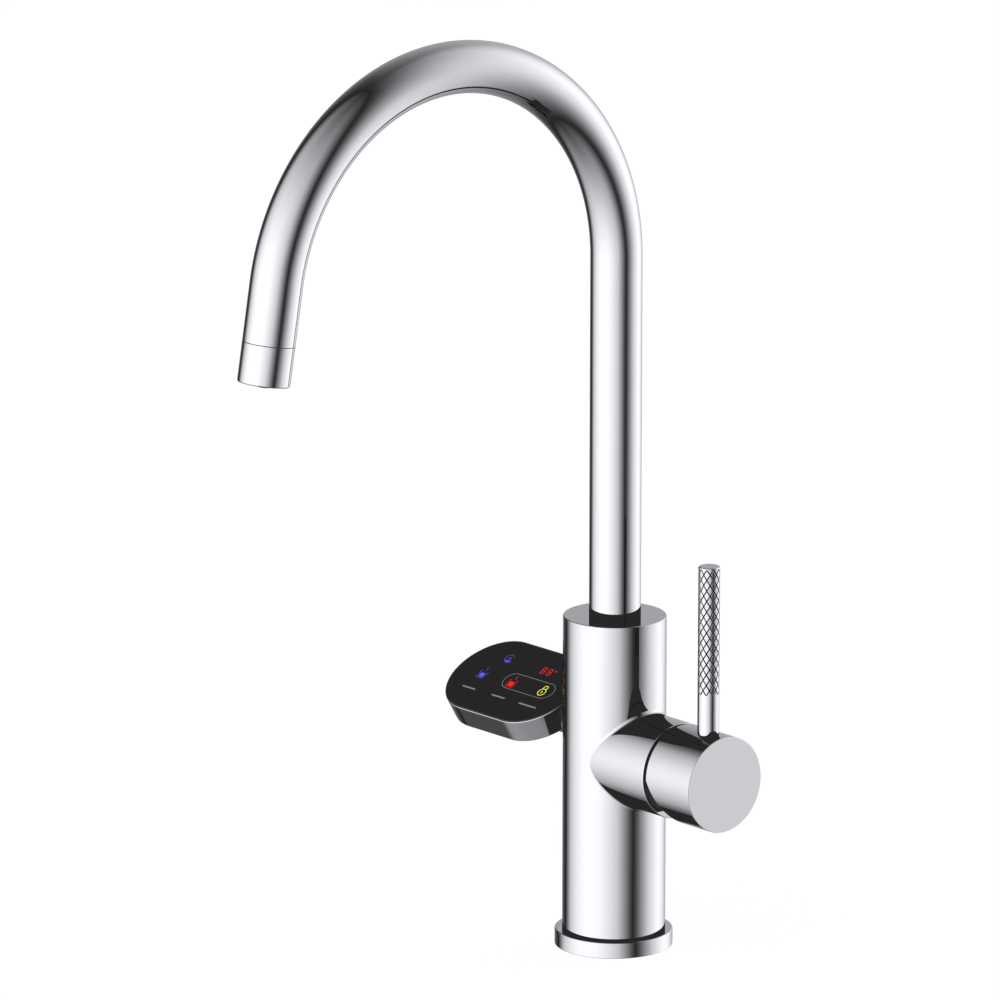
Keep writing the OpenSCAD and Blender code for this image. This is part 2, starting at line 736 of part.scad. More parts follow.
// ---- handle -------------------------------------------------------------
module handle_cap() {
    color([0.86, 0.87, 0.89]) difference() {
        handle_frame() rotate_extrude() union() {
            difference() {
                translate([0, cap_in_x]) square([handle_r, cap_x - cap_in_x - 0.3]);
                translate([-e, cap_in_x - 1]) square([cap_bore_r + e, cap_hollow_x - cap_in_x + 1]);
            }
            translate([0, cap_in_x + 5]) square([handle_r - 0.3, cap_x - cap_in_x - 5]);
            translate([handle_r - 0.3, cap_x - 0.3]) circle(0.3, $fn = 24);
        }
        // hollow behind the solid end
        difference() {
            bar(cap_bore_r, cap_in_x - 1, cap_hollow_x);
            bar(hub_r, hub_x, cap_hollow_x + 1);
        }
        // sloping lower half of the inner rim
        handle_plane(2 * handle_r + 4) polygon([
            [cap_in_x - 2, 0], [cap_in_x, 0],
            [cap_in_x + (handle_r + 4) * tan(bevel_angle), -handle_r - 4], [cap_in_x - 2, -handle_r - 4]
        ]);
        // square socket for the spindle
        translate([hub_x - 1, -socket_w / 2, handle_z - socket_w / 2])
            cube([spindle_end - hub_x + 1.3, socket_w, socket_w]);
        // lever seat
        rod(lever_d / 2 + seat_gap, handle_z + lever_foot_z, handle_z + handle_r + 1, lever_x);
        rod(lever_spigot_r + seat_gap, handle_z + lever_foot_z - 10, handle_z + handle_r, lever_x);
        // grub screw thread
        rod(grub_r, handle_z - handle_r - 1, handle_z - 2, cap_hollow_x + 3);
    }
}

module handle_grub() {
    color([0.25, 0.26, 0.28]) difference() {
        rod(grub_r, handle_z - spindle_w / 2 - 10, handle_z - spindle_w / 2, cap_hollow_x + 3);
        translate([cap_hollow_x + 3, 0, handle_z - spindle_w / 2 - 11]) cylinder(r = 1.45, h = 4, $fn = 6);
    }
}

module lever() {
    top = handle_z + lever_top;
    color([0.84, 0.85, 0.87]) translate([lever_x, 0, 0]) rotate_extrude() union() {
        translate([0, handle_z + lever_foot_z]) square([lever_d / 2, lever_top - lever_foot_z - 0.6]);
        translate([0, handle_z + lever_foot_z]) square([lever_d / 2 - 0.6, lever_top - lever_foot_z]);
        translate([lever_d / 2 - 0.6, top - 0.6]) circle(0.6, $fn = 32);
        translate([0, handle_z + lever_foot_z - 9.5]) square([lever_spigot_r, 10]);
    }
}

// ---- touch panel --------------------------------------------------------
module panel_stem() {
    color([0.86, 0.87, 0.89]) difference() {
        union() {
            translate([stem_end_x, 0, stem_z]) rotate([0, 90, 0]) cylinder(r = stem_r, h = stem_face_x - stem_end_x);
            translate([stem_face_x - e, 0, stem_z]) rotate([0, 90, 0]) cylinder(r = stem_screw_r, h = 4.6);
        }
        translate([stem_end_x + 3, 0, stem_z]) rotate([0, 90, 0]) cylinder(r = stem_bore_r, h = -stem_end_x);
        // ribbon outlet towards the board
        panel_frame() translate([stem_end_x - panel_x + 8, stem_w - 2, stem_n]) cube([8, 4, 12]);
    }
}

module panel_housing() {
    color([0.16, 0.17, 0.18]) difference() {
        union() {
            panel_frame() {
                stadium_solid(panel_r, -panel_h / 2, glass_z - 0.7);
                stadium_taper(panel_r, panel_r - 0.5, glass_z - 0.7, glass_z - 0.2);
            }
            // keel that takes the stem
            difference() {
                translate([keel_end, 0, stem_z]) rotate([0, 90, 0]) cylinder(r = keel_r, h = keel_start - keel_end);
                panel_frame() stadium_solid(panel_r + 20, -panel_h / 2 + 1, 30);
            }
        }
        panel_frame() {
            // glass seat, seal ledge and hollow
            stadium_solid(panel_r - panel_rim, ledge_z, glass_z + 1);
            difference() {
                stadium_solid(panel_r - panel_wall, floor_z, ledge_z + e);
                // board posts
                for (sx = [-1, 1], sy = [-1, 1]) translate([sx * post_x, sy * post_y, floor_z - 1])
                    cylinder(r = 2.4, h = board_z - floor_z + 1);
            }
            for (sx = [-1, 1], sy = [-1, 1]) translate([sx * post_x, sy * post_y, board_z - 5])
                cylinder(r = 0.8, h = 6, $fn = 32);
        }
        // stem bore
        translate([stem_end_x, 0, stem_z]) rotate([0, 90, 0]) cylinder(r = stem_r + seat_gap, h = -stem_end_x);
    }
}

module panel_seal() {
    color([0.05, 0.05, 0.06]) panel_frame() difference() {
        stadium_solid(panel_r - panel_rim - 0.1, ledge_z, ledge_z + 0.4);
        stadium_solid(panel_r - panel_wall, ledge_z - 1, ledge_z + 1);
    }
}

module panel_glass() {
    color([0.03, 0.03, 0.04]) panel_frame() {
        stadium_solid(glass_r, glass_z - glass_h, glass_z - glass_edge);
        stadium_taper(glass_r, glass_r - glass_edge, glass_z - glass_edge, glass_z);
    }
}

module panel_board() {
    color([0.05, 0.25, 0.12]) panel_frame() difference() {
        stadium_solid(board_r, board_z, board_z + board_h);
        for (sx = [-1, 1], sy = [-1, 1]) translate([sx * post_x, sy * post_y, board_z - 1])
            cylinder(r = 1.1, h = 3, $fn = 32);
        // cut-out for the ribbon
        translate([stem_end_x - panel_x + 8, stem_w - 2.5, board_z - 1]) cube([8, 5, 3]);
    }
}

module board_screws() {
    color([0.70, 0.71, 0.73]) panel_frame() for (sx = [-1, 1], sy = [-1, 1])
        translate([sx * post_x, sy * post_y, board_z + board_h - 5.5]) union() {
            cylinder(r = 0.8, h = 5.6, $fn = 32);
            translate([0, 0, 5.5]) cylinder(r = 1.9, h = 0.25, $fn = 32);
        }
}

module display_block() {
    color([0.35, 0.05, 0.05]) panel_frame()
        translate([display_x - display_w / 2, display_y - display_l / 2, board_z + board_h])
            cube([display_w, display_l, guide_h]);
}

module light_guides() {
    color([0.85, 0.87, 0.90]) panel_frame()
        for (p = [[light_x1, light_y], [light_x2, light_y], [light_x3, light_y], [light_x4, light_y4]])
            translate([p[0], p[1], board_z + board_h]) cylinder(r = guide_r, h = guide_h, $fn = 48);
}

// ---- output -------------------------------------------------------------
base_gasket();
base_flange();
tap_column();
inlet_manifold();
manifold_seal();
cable_grommet();
riser_pipes();
spout_tube();
swivel_insert();
spout_seals();
slip_rings();
stop_screw();
inner_hose();
outlet_sleeve();
aerator();
nozzle();
cartridge_housing();
cartridge_seals();
fixed_disc();
moving_disc();
disc_carrier();
cartridge_rotor();
pivot_pin();
spindle();
cartridge_nut();
cartridge_cover();
handle_cap();
handle_grub();
lever();
panel_stem();
panel_housing();
panel_seal();
panel_glass();
panel_board();
board_screws();
display_block();
light_guides();
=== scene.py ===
"""Boiling water tap: finishes, fine shapes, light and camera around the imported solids."""

import logging
import math
from collections.abc import Callable
from dataclasses import dataclass
from enum import Enum

import bpy
import numpy as np
from mathutils import Matrix, Vector


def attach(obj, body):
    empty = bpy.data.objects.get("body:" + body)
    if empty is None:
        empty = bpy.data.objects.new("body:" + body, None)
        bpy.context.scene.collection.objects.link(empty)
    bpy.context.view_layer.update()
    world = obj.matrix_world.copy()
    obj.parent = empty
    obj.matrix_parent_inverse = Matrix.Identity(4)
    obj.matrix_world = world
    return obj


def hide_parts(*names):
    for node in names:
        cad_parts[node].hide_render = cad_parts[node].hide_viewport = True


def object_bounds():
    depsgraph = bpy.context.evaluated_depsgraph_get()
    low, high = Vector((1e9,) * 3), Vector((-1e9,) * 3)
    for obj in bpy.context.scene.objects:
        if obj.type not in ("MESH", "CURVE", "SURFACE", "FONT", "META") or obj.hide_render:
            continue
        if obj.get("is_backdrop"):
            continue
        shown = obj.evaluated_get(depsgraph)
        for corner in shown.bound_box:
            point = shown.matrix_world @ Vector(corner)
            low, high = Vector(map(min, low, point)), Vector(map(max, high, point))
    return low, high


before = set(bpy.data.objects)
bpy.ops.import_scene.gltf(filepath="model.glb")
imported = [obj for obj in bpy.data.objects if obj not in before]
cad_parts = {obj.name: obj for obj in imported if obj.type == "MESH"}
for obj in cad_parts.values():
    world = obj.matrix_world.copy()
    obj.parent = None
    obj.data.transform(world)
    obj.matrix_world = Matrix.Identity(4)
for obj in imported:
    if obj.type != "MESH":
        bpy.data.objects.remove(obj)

LOG = logging.getLogger("tap")
MM = 0.001
TURN = 2 * math.pi

Socket = bpy.types.NodeSocket
Point = tuple[float, float]
Triple = tuple[float, float, float]


# ---- materials -------------------------------------------------------------
class Nodes:
    """Small writer for one material's or world's node tree."""

    def __init__(self, owner: bpy.types.ID) -> None:
        """Starts a node tree anew.

        Args:
            owner: the material or world that it belongs to.
        """
        owner.use_nodes = True
        self.tree = owner.node_tree
        self.tree.nodes.clear()

    def add(self, kind: str, **values: object) -> bpy.types.Node:
        """Adds a node.

        Args:
            kind: Blender's name of the node type, after ShaderNode.
            **values: node attributes, or inputs as in_NAME (underscores for spaces).

        Returns:
            The new node.
        """
        node = self.tree.nodes.new("ShaderNode" + kind)
        for key, value in values.items():
            if key.startswith("in_"):
                name = key[3:].replace("_", " ")
                self.put(node.inputs[int(name) if name.isdigit() else name], value)
            else:
                setattr(node, key, value)
        return node

    def put(self, socket: Socket, value: object) -> None:
        """Links an output to a socket, or sets the socket's own value.

        Args:
            socket: the input socket.
            value: an output socket or a plain value.
        """
        if isinstance(value, Socket):
            self.tree.links.new(value, socket)
        else:
            socket.default_value = value

    def math(self, operation: str, a: object, b: object = 0.0) -> Socket:
        """Adds a Math node and returns its output."""
        return self.add("Math", operation=operation, in_0=a, in_1=b).outputs[0]

    def object_point(self, scale: Triple = (1, 1, 1)) -> Socket:
        """Returns the surface point in the object's own frame, scaled."""
        point = self.add("TexCoord").outputs["Object"]
        return self.add("Mapping", in_Vector=point, in_Scale=scale).outputs[0]

    def noise(self, point: Socket, scale: float, detail: float = 2.0) -> Socket:
        """Adds a noise texture and returns its value."""
        return self.add("TexNoise", in_Vector=point, in_Scale=scale, in_Detail=detail).outputs[0]

    def span(self, value: Socket, low: float, high: float) -> Socket:
        """Maps a 0 to 1 value to the span low to high."""
        return self.add("MapRange", in_Value=value, in_To_Min=low, in_To_Max=high).outputs[0]

    def blend(self, factor: Socket, *colours: "Socket | Triple") -> Socket:
        """Mixes two colours by a factor and returns the result."""
        a, b = (c if isinstance(c, Socket) else (*c, 1) for c in colours)
        return self.add("Mix", data_type="RGBA", in_0=factor, in_6=a, in_7=b).outputs[2]

    def bump(self, height: Socket, depth: float) -> Socket:
        """Adds a bump node of a depth in metres and returns its normal."""
        return self.add("Bump", in_Height=height, in_Distance=depth).outputs[0]


@dataclass(frozen=True)
class Finish:
    """A surface finish: base colour with a fine mottle, sheen and surface waves.

    Sizes are in metres. The mottle is a share of the colour, and the waves are real height.
    """

    name: str
    colour: Triple
    roughness: float
    metallic: float = 0.0
    mottle: float = 0.04
    grain: float = 900.0
    grain_detail: float = 3.0
    haze_share: float = 0.37
    rough_span: float = 0.3
    wave_height: float = 0.0
    wave_scale: float = 300.0
    coat: float = 0.0
    coat_roughness: float = 0.03
    stretch: Triple = (1.0, 1.0, 1.0)
    # emission from the colour: the lit marks' own light, and on the cartridge cover an even painted
    # shade
    glow: float = 0.0
    specular: float = 0.5

    def material(self) -> bpy.types.Material:
        """Builds the material at its first use.

        Returns:
            The material.
        """
        known = bpy.data.materials.get(self.name)
        if known is not None:
            return known
        made = bpy.data.materials.new(self.name)
        nodes = Nodes(made)
        point = nodes.object_point(self.stretch)
        low, high = (tuple(min(1.0, c * (1 + side * self.mottle)) for c in self.colour)
                     for side in (-1, 1))
        colour = nodes.blend(nodes.noise(point, self.grain, self.grain_detail), low, high)
        haze = nodes.noise(point, self.grain * self.haze_share)
        low, high = (self.roughness * (1 + side * self.rough_span) for side in (-1, 1))
        shader = nodes.add(
            "BsdfPrincipled", in_Base_Color=colour, in_Roughness=nodes.span(haze, low, high),
            in_Metallic=self.metallic, in_Specular_IOR_Level=self.specular,
            in_Coat_Weight=self.coat, in_Coat_Roughness=self.coat_roughness)
        if self.wave_height:
            waves = nodes.noise(point, self.wave_scale)
            nodes.put(shader.inputs["Normal"], nodes.bump(waves, self.wave_height))
        if self.glow:
            nodes.put(shader.inputs["Emission Color"], colour)
            nodes.put(shader.inputs["Emission Strength"], self.glow)
        nodes.add("OutputMaterial", in_Surface=shader.outputs[0])
        return made


class Finishes(Enum):
    """The tap's finishes."""

    CHROME = Finish("polished_chrome", (0.985, 0.985, 0.989), 0.025, 1.0, 0.006, 220.0)
    DARK_CHROME = Finish("smoked_chrome", (0.94, 0.94, 0.945), 0.03, 1.0, 0.01, 220.0)
    SATIN_CHROME = Finish("satin_chrome", (0.95, 0.95, 0.955), 0.32, 1.0, 0.02, 600.0)
    BRASS = Finish("machined_brass", (0.60, 0.42, 0.16), 0.28, 1.0, 0.08, 1500.0,
                   wave_height=4e-6, wave_scale=2500.0)
    COPPER = Finish("drawn_copper", (0.62, 0.26, 0.13), 0.25, 1.0, 0.08, stretch=(1, 1, 0.1))
    STEEL = Finish("stainless_steel", (0.42, 0.42, 0.43), 0.22, 1.0, 0.05)
    RUBBER = Finish("seal_rubber", (0.018, 0.018, 0.019), 0.62, mottle=0.2,
                    wave_height=1e-5, wave_scale=2200.0)
    BLUE_RUBBER = Finish("port_rubber", (0.02, 0.035, 0.22), 0.55, mottle=0.1, wave_height=1e-5)
    SILICONE = Finish("milky_silicone", (0.78, 0.78, 0.73), 0.45, mottle=0.05)
    SLIP_PLASTIC = Finish("white_slip_plastic", (0.80, 0.80, 0.77), 0.4, mottle=0.03)
    DARK_PLASTIC = Finish("glass_filled_plastic", (0.028, 0.030, 0.034), 0.42, mottle=0.25,
                          wave_height=8e-6, wave_scale=1800.0)
    GREY_PLASTIC = Finish("grille_plastic", (0.05, 0.054, 0.06), 0.35, mottle=0.08,
                          wave_height=6e-6)
    CERAMIC = Finish("polished_ceramic", (0.85, 0.85, 0.82), 0.12, mottle=0.02)
    NOZZLE = Finish("satin_nozzle", (0.035, 0.037, 0.04), 0.3, mottle=0.15)
    GLASS = Finish("touch_black_glass", (0.0430, 0.0395, 0.0385), 0.035, mottle=0.1, coat=1.0)
    CIRCUIT = Finish("circuit_lacquer", (0.006, 0.06, 0.022), 0.3, mottle=0.3, wave_height=1e-5)
    RED_RESIN = Finish("display_resin", (0.10, 0.008, 0.008), 0.2, mottle=0.1)
    LIGHT_GUIDE = Finish("milky_light_guide", (0.70, 0.73, 0.78), 0.3)
    # painted shade: an even dark glow stands in for the shade in the narrow gap round the cartridge
    # cover
    COVER = Finish("satin_cover", (0.021, 0.021, 0.021), 0.5, mottle=0.05, glow=0.85,
                   specular=0.1)
    # painted shade: a near-black finish for the faces deep in the knurl's grooves
    PAINTED_GROOVE_SHADE = Finish("painted_groove_shade", (0.010, 0.010, 0.011), 0.5, mottle=0.1, specular=0.1)
    BLUE_LIGHT = Finish("blue_light", (0.095, 0.080, 0.72), 0.4, mottle=0.1, glow=1.0)
    RED_LIGHT = Finish("red_light", (0.90, 0.012, 0.012), 0.4, mottle=0.1, glow=1.0)
    YELLOW_LIGHT = Finish("yellow_light", (0.80, 0.80, 0.06), 0.4, mottle=0.1, glow=1.0)
    GREY_PRINT = Finish("grey_print", (0.26, 0.26, 0.26), 0.5, mottle=0.1, glow=0.5)


NODE_FINISHES = {
    Finishes.CHROME: "tap_column base_flange spout_tube outlet_sleeve handle_cap lever",
    Finishes.SATIN_CHROME: "panel_stem",
    Finishes.COVER: "cartridge_cover",
    Finishes.DARK_CHROME: "panel_housing",
    Finishes.BRASS: "inlet_manifold swivel_insert spindle cartridge_nut",
    Finishes.COPPER: "riser_pipes",
    Finishes.STEEL: "stop_screw pivot_pin handle_grub board_screws",
    Finishes.RUBBER: "base_gasket manifold_seal cable_grommet spout_seals panel_seal",
    Finishes.BLUE_RUBBER: "cartridge_seals",
    Finishes.SILICONE: "inner_hose",
    Finishes.SLIP_PLASTIC: "slip_rings disc_carrier",
    Finishes.DARK_PLASTIC: "cartridge_housing cartridge_rotor",
    Finishes.CERAMIC: "fixed_disc moving_disc",
    Finishes.GREY_PLASTIC: "aerator",
    Finishes.NOZZLE: "nozzle",
    Finishes.GLASS: "panel_glass",
    Finishes.CIRCUIT: "panel_board",
    Finishes.RED_RESIN: "display_block",
    Finishes.LIGHT_GUIDE: "light_guides",
}


# ---- shapes ----------------------------------------------------------------
Row = tuple[float, float, float, float]
Grid = tuple[np.ndarray, np.ndarray]


def chain(*corners: tuple[float, ...]) -> list[list[Row]]:
    """Straight stretches of a turned profile, with the outside on their right hand.

    Args:
        *corners: radius and height, and how many faces lead there if more than one.

    Returns:
        Stretches as rows of radius, height and the two parts of the outward normal.
    """
    stretches = []
    for (r0, h0, *_), (r1, h1, *faces) in zip(corners, corners[1:]):
        steps = faces[0] if faces else 1
        size = math.hypot(r1 - r0, h1 - h0)
        normal = ((h1 - h0) / size, (r0 - r1) / size)
        stretches.append([(r0 + (r1 - r0) * i / steps, h0 + (h1 - h0) * i / steps, *normal)
                          for i in range(steps + 1)])
    return stretches


def edge(corner: Point, radius: float, start: float = 0.0, steps: int = 5) -> list[Row]:
    """Quarter round that takes off a corner of a turned profile.

    Args:
        corner: radius and height of the sharp corner.
        radius: the rounding's radius.
        start: its first angle in degrees, 0 outward and 90 up.
        steps: how many faces it gets.

    Returns:
        Rows of radius, height and the two parts of the outward normal.
    """
    middle = math.radians(start + 45)
    centre_r = corner[0] - math.copysign(radius, math.cos(middle))
    centre_h = corner[1] - math.copysign(radius, math.sin(middle))
    angles = [math.radians(start + 90 * i / steps) for i in range(steps + 1)]
    return [(centre_r + radius * math.cos(a), centre_h + radius * math.sin(a),
             math.cos(a), math.sin(a)) for a in angles]


def ring_angles(count: int) -> np.ndarray:
    """Returns evenly spaced angles round a full turn."""
    return np.arange(count) * (TURN / count)


def lofted(inner: np.ndarray, outer: np.ndarray, rows: int) -> np.ndarray:
    """Returns rows of points from an inner loop to an outer loop."""
    share = np.linspace(0, 1, rows + 1)[:, None, None]
    return inner * (1 - share) + outer * share


def window_loop(centre: Point, half: Point, counts: tuple[int, int]) -> np.ndarray:
    """Places points along the edges of a window in a wall.

    Args:
        centre: angle and height of the window's middle.
        half: half its angle and half its height.
        counts: faces along its level edges and along its upright edges.

    Returns:
        Angles and heights, anticlockwise from the window's lower right corner.
    """
    level, up = (np.linspace(-1, 1, n + 1)[:-1] for n in counts)
    top, right = np.ones(counts[0]), np.ones(counts[1])
    sides = ((right, up), (-level, top), (-right, -up), (level, -top))
    return np.concatenate([np.stack(side, axis=-1) for side in sides]) * half + centre


@dataclass(frozen=True)
class Axis:
    """A turning axis: origin, direction and the two directions across it."""

    origin: Triple = (0.0, 0.0, 0.0)
    along: Triple = (0.0, 0.0, 1.0)
    across: Triple = (1.0, 0.0, 0.0)
    third: Triple = (0.0, 1.0, 0.0)

    @classmethod
    def level(cls, height: float) -> "Axis":
        """Returns the level axis from left to right at a height, with angle 0 at the back."""
        return cls((0.0, 0.0, height), (1.0, 0.0, 0.0), (0.0, 1.0, 0.0), (0.0, 0.0, 1.0))

    def wall(self, radius: object, angle: object, height: object) -> Grid:
        """Places points round the axis.

        Args:
            radius: distance from the axis, one or many.
            angle: angle round it in radians, one or many.
            height: distance along it, one or many.

        Returns:
            The points and the directions from the axis to them.
        """
        radius, angle, height = np.broadcast_arrays(radius, angle, height)
        spoke = (np.cos(angle)[..., None] * np.array(self.across)
                 + np.sin(angle)[..., None] * np.array(self.third))
        foot = np.array(self.origin) + height[..., None] * np.array(self.along)
        return foot + radius[..., None] * spoke, spoke

    def sweep(self, rows: list[Row], angles: np.ndarray) -> Grid:
        """Turns profile rows round the axis.

        Args:
            rows: rows of radius, height and normal.
            angles: the angles round the axis, in radians.

        Returns:
            Points and normals, one row of the grid for each profile row.
        """
        data = np.array(rows)[..., None]
        points, spoke = self.wall(data[:, 0], angles, data[:, 1])
        return points, data[:, 3, :, None] * np.array(self.along) + data[:, 2, :, None] * spoke


class Skin:
    """Faces with exact corner normals, in millimetres, welded into one closed mesh."""

    # points that share a cell of this many to a millimetre weld
    weld_cells = 1e4
    # moves the cells, so that round sizes don't lie on their limits
    weld_shift = 0.37

    def __init__(self) -> None:
        """Starts with no faces."""
        self.points: list[np.ndarray] = []
        self.normals: list[np.ndarray] = []
        self.quads: list[np.ndarray] = []
        self.count = 0

    def add(self, points: np.ndarray, normals: np.ndarray, quads: np.ndarray) -> None:
        """Adds points, their normals and four-cornered faces between them.

        Args:
            points: the points.
            normals: one outward normal for each point.
            quads: faces as four indices, a corner given twice for a triangle.
        """
        self.points.append(points.reshape(-1, 3))
        self.normals.append(normals.reshape(-1, 3))
        self.quads.append(quads.reshape(-1, 4) + self.count)
        self.count += len(self.points[-1])

    def grid(self, shape: Grid, closed: bool = True) -> None:
        """Adds a grid of faces.

        Args:
            shape: points and normals, rows by columns by 3.
            closed: whether the last column joins the first.
        """
        points, normals = shape
        rows, columns = points.shape[:2]
        ids = np.arange(rows * columns).reshape(rows, columns)
        if closed:
            ids = np.concatenate([ids, ids[:, :1]], axis=1)
        quads = np.stack([ids[:-1, :-1], ids[:-1, 1:], ids[1:, 1:], ids[1:, :-1]], axis=-1)
        self.add(points, normals, quads)

    def strip(self, loops: object, way: object, closed: bool = True) -> None:
        """Adds faces from loop to loop of points.

        Args:
            loops: the loops, all with as many points.
            way: the outward normal, one for all or one for each point of a loop.
            closed: whether the loops' last point joins the first.
        """
        points = np.array(loops)
        self.grid((points, np.broadcast_to(way, points.shape)), closed)

    def turn(self, axis: Axis, profile: list[list[Row]], angles: np.ndarray) -> None:
        """Adds turned stretches of a profile.

        Args:
            axis: the turning axis.
            profile: the stretches, each a list of rows.
            angles: the angles round the axis, in radians.
        """
        for rows in profile:
            self.grid(axis.sweep(rows, angles))

    def walled(self, axis: Axis, radius: float, columns: int, stops: list[object],
               spans: list[tuple[int, int, int]]) -> None:
        """Adds a round wall that is left open at windows.

        Args:
            axis: the wall's axis.
            radius: its radius.
            columns: how many faces it has round the axis.
            stops: heights between its spans, numbers or one number for each column.
            spans: for each, the faces up it, and its window's middle and half width in columns.
        """
        for low, high, (faces, middle, half) in zip(stops, stops[1:], spans):
            low, high = np.broadcast_to(low, columns), np.broadcast_to(high, columns)
            ids = np.arange(middle + half, middle - half + columns + 1) % columns
            rows = np.linspace(low, high, faces + 1)[:, ids]
            self.grid(axis.wall(radius, ids * (TURN / columns), rows), closed=False)

    def drill(self, axis: Axis, radius: float, at: Point, half: Point, side: int,
              hole_r: float, floor_r: float) -> None:
        """Adds a blind round hole in a round wall, and the wall from it to its window's edge.

        Args:
            axis: the wall's axis.
            radius: the wall's radius.
            at: angle and height of the hole's middle.
            half: half the window's angle and half its height.
            side: faces along each edge of the window.
            hole_r: the hole's radius.
            floor_r: how far from the axis its floor lies.
        """
        turn = np.radians(90 * np.arange(4 * side) / side - 45)
        across, up = hole_r * np.cos(turn), hole_r * np.sin(turn)
        hole = np.stack([at[0] + np.arcsin(across / radius), at[1] + up], axis=-1)
        flat = lofted(hole, window_loop(at, half, (side, side)), 5)
        self.grid(axis.wall(radius, flat[..., 0], flat[..., 1]))
        mouth = axis.wall(radius, hole[:, 0], hole[:, 1])[0]
        centre, out = axis.wall(floor_r, at[0], at[1])
        floor = mouth - ((mouth - centre) @ out)[:, None] * out
        self.strip([mouth, floor], (centre - floor) / hole_r)
        self.strip([floor, np.broadcast_to(centre, floor.shape)], out)

    def build(self, name: str, finish: Finishes, body: str, slot: str, replaced: str = "",
              second: Finishes | None = None,
              inside: Callable[[np.ndarray], np.ndarray] | None = None) -> None:
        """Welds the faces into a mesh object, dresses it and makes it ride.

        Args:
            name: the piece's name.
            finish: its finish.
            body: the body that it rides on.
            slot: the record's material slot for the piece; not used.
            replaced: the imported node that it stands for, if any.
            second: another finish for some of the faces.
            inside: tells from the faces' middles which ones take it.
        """
        points, normals, quads = map(np.concatenate, (self.points, self.normals, self.quads))
        a, b, c, d = (points[quads[:, i]] for i in range(4))
        # a face whose corners run the wrong way round for its normals is reversed
        outward = (np.cross(c - a, d - b) * normals[quads].sum(axis=1)).sum(axis=1)
        quads = np.where((outward < 0)[:, None], quads[:, ::-1], quads)
        keys = np.floor(points * self.weld_cells + self.weld_shift).astype(np.int64)
        _, first, weld = np.unique(keys, axis=0, return_index=True, return_inverse=True)
        weld = weld.reshape(-1).tolist()
        taken = inside(points[quads].mean(axis=1)) if inside else np.zeros(len(quads), bool)
        faces, corners, marked = [], [], []
        for quad, mark in zip(quads.tolist(), taken.tolist()):
            ids = [weld[q] for q in quad]
            kept = [i for i in range(4) if ids[i] != ids[i - 1]]
            if len(kept) > 2 and len({ids[i] for i in kept}) == len(kept):
                faces.append([ids[i] for i in kept])
                corners.extend(quad[i] for i in kept)
                marked.append(int(mark))
        mesh = bpy.data.meshes.new(name)
        mesh.from_pydata((points[first] * MM).tolist(), [], faces)
        mesh.polygons.foreach_set("use_smooth", [True] * len(mesh.polygons))
        mesh.normals_split_custom_set(normals[corners].tolist())
        mesh.materials.append(finish.value.material())
        if second:
            mesh.materials.append(second.value.material())
            mesh.polygons.foreach_set("material_index", marked)
        piece = bpy.data.objects.new(name, mesh)
        bpy.context.scene.collection.objects.link(piece)
        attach(piece, body)
        if replaced:
            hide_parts(replaced)
        LOG.info("%s: %d faces, rides %s", name, len(faces), body)


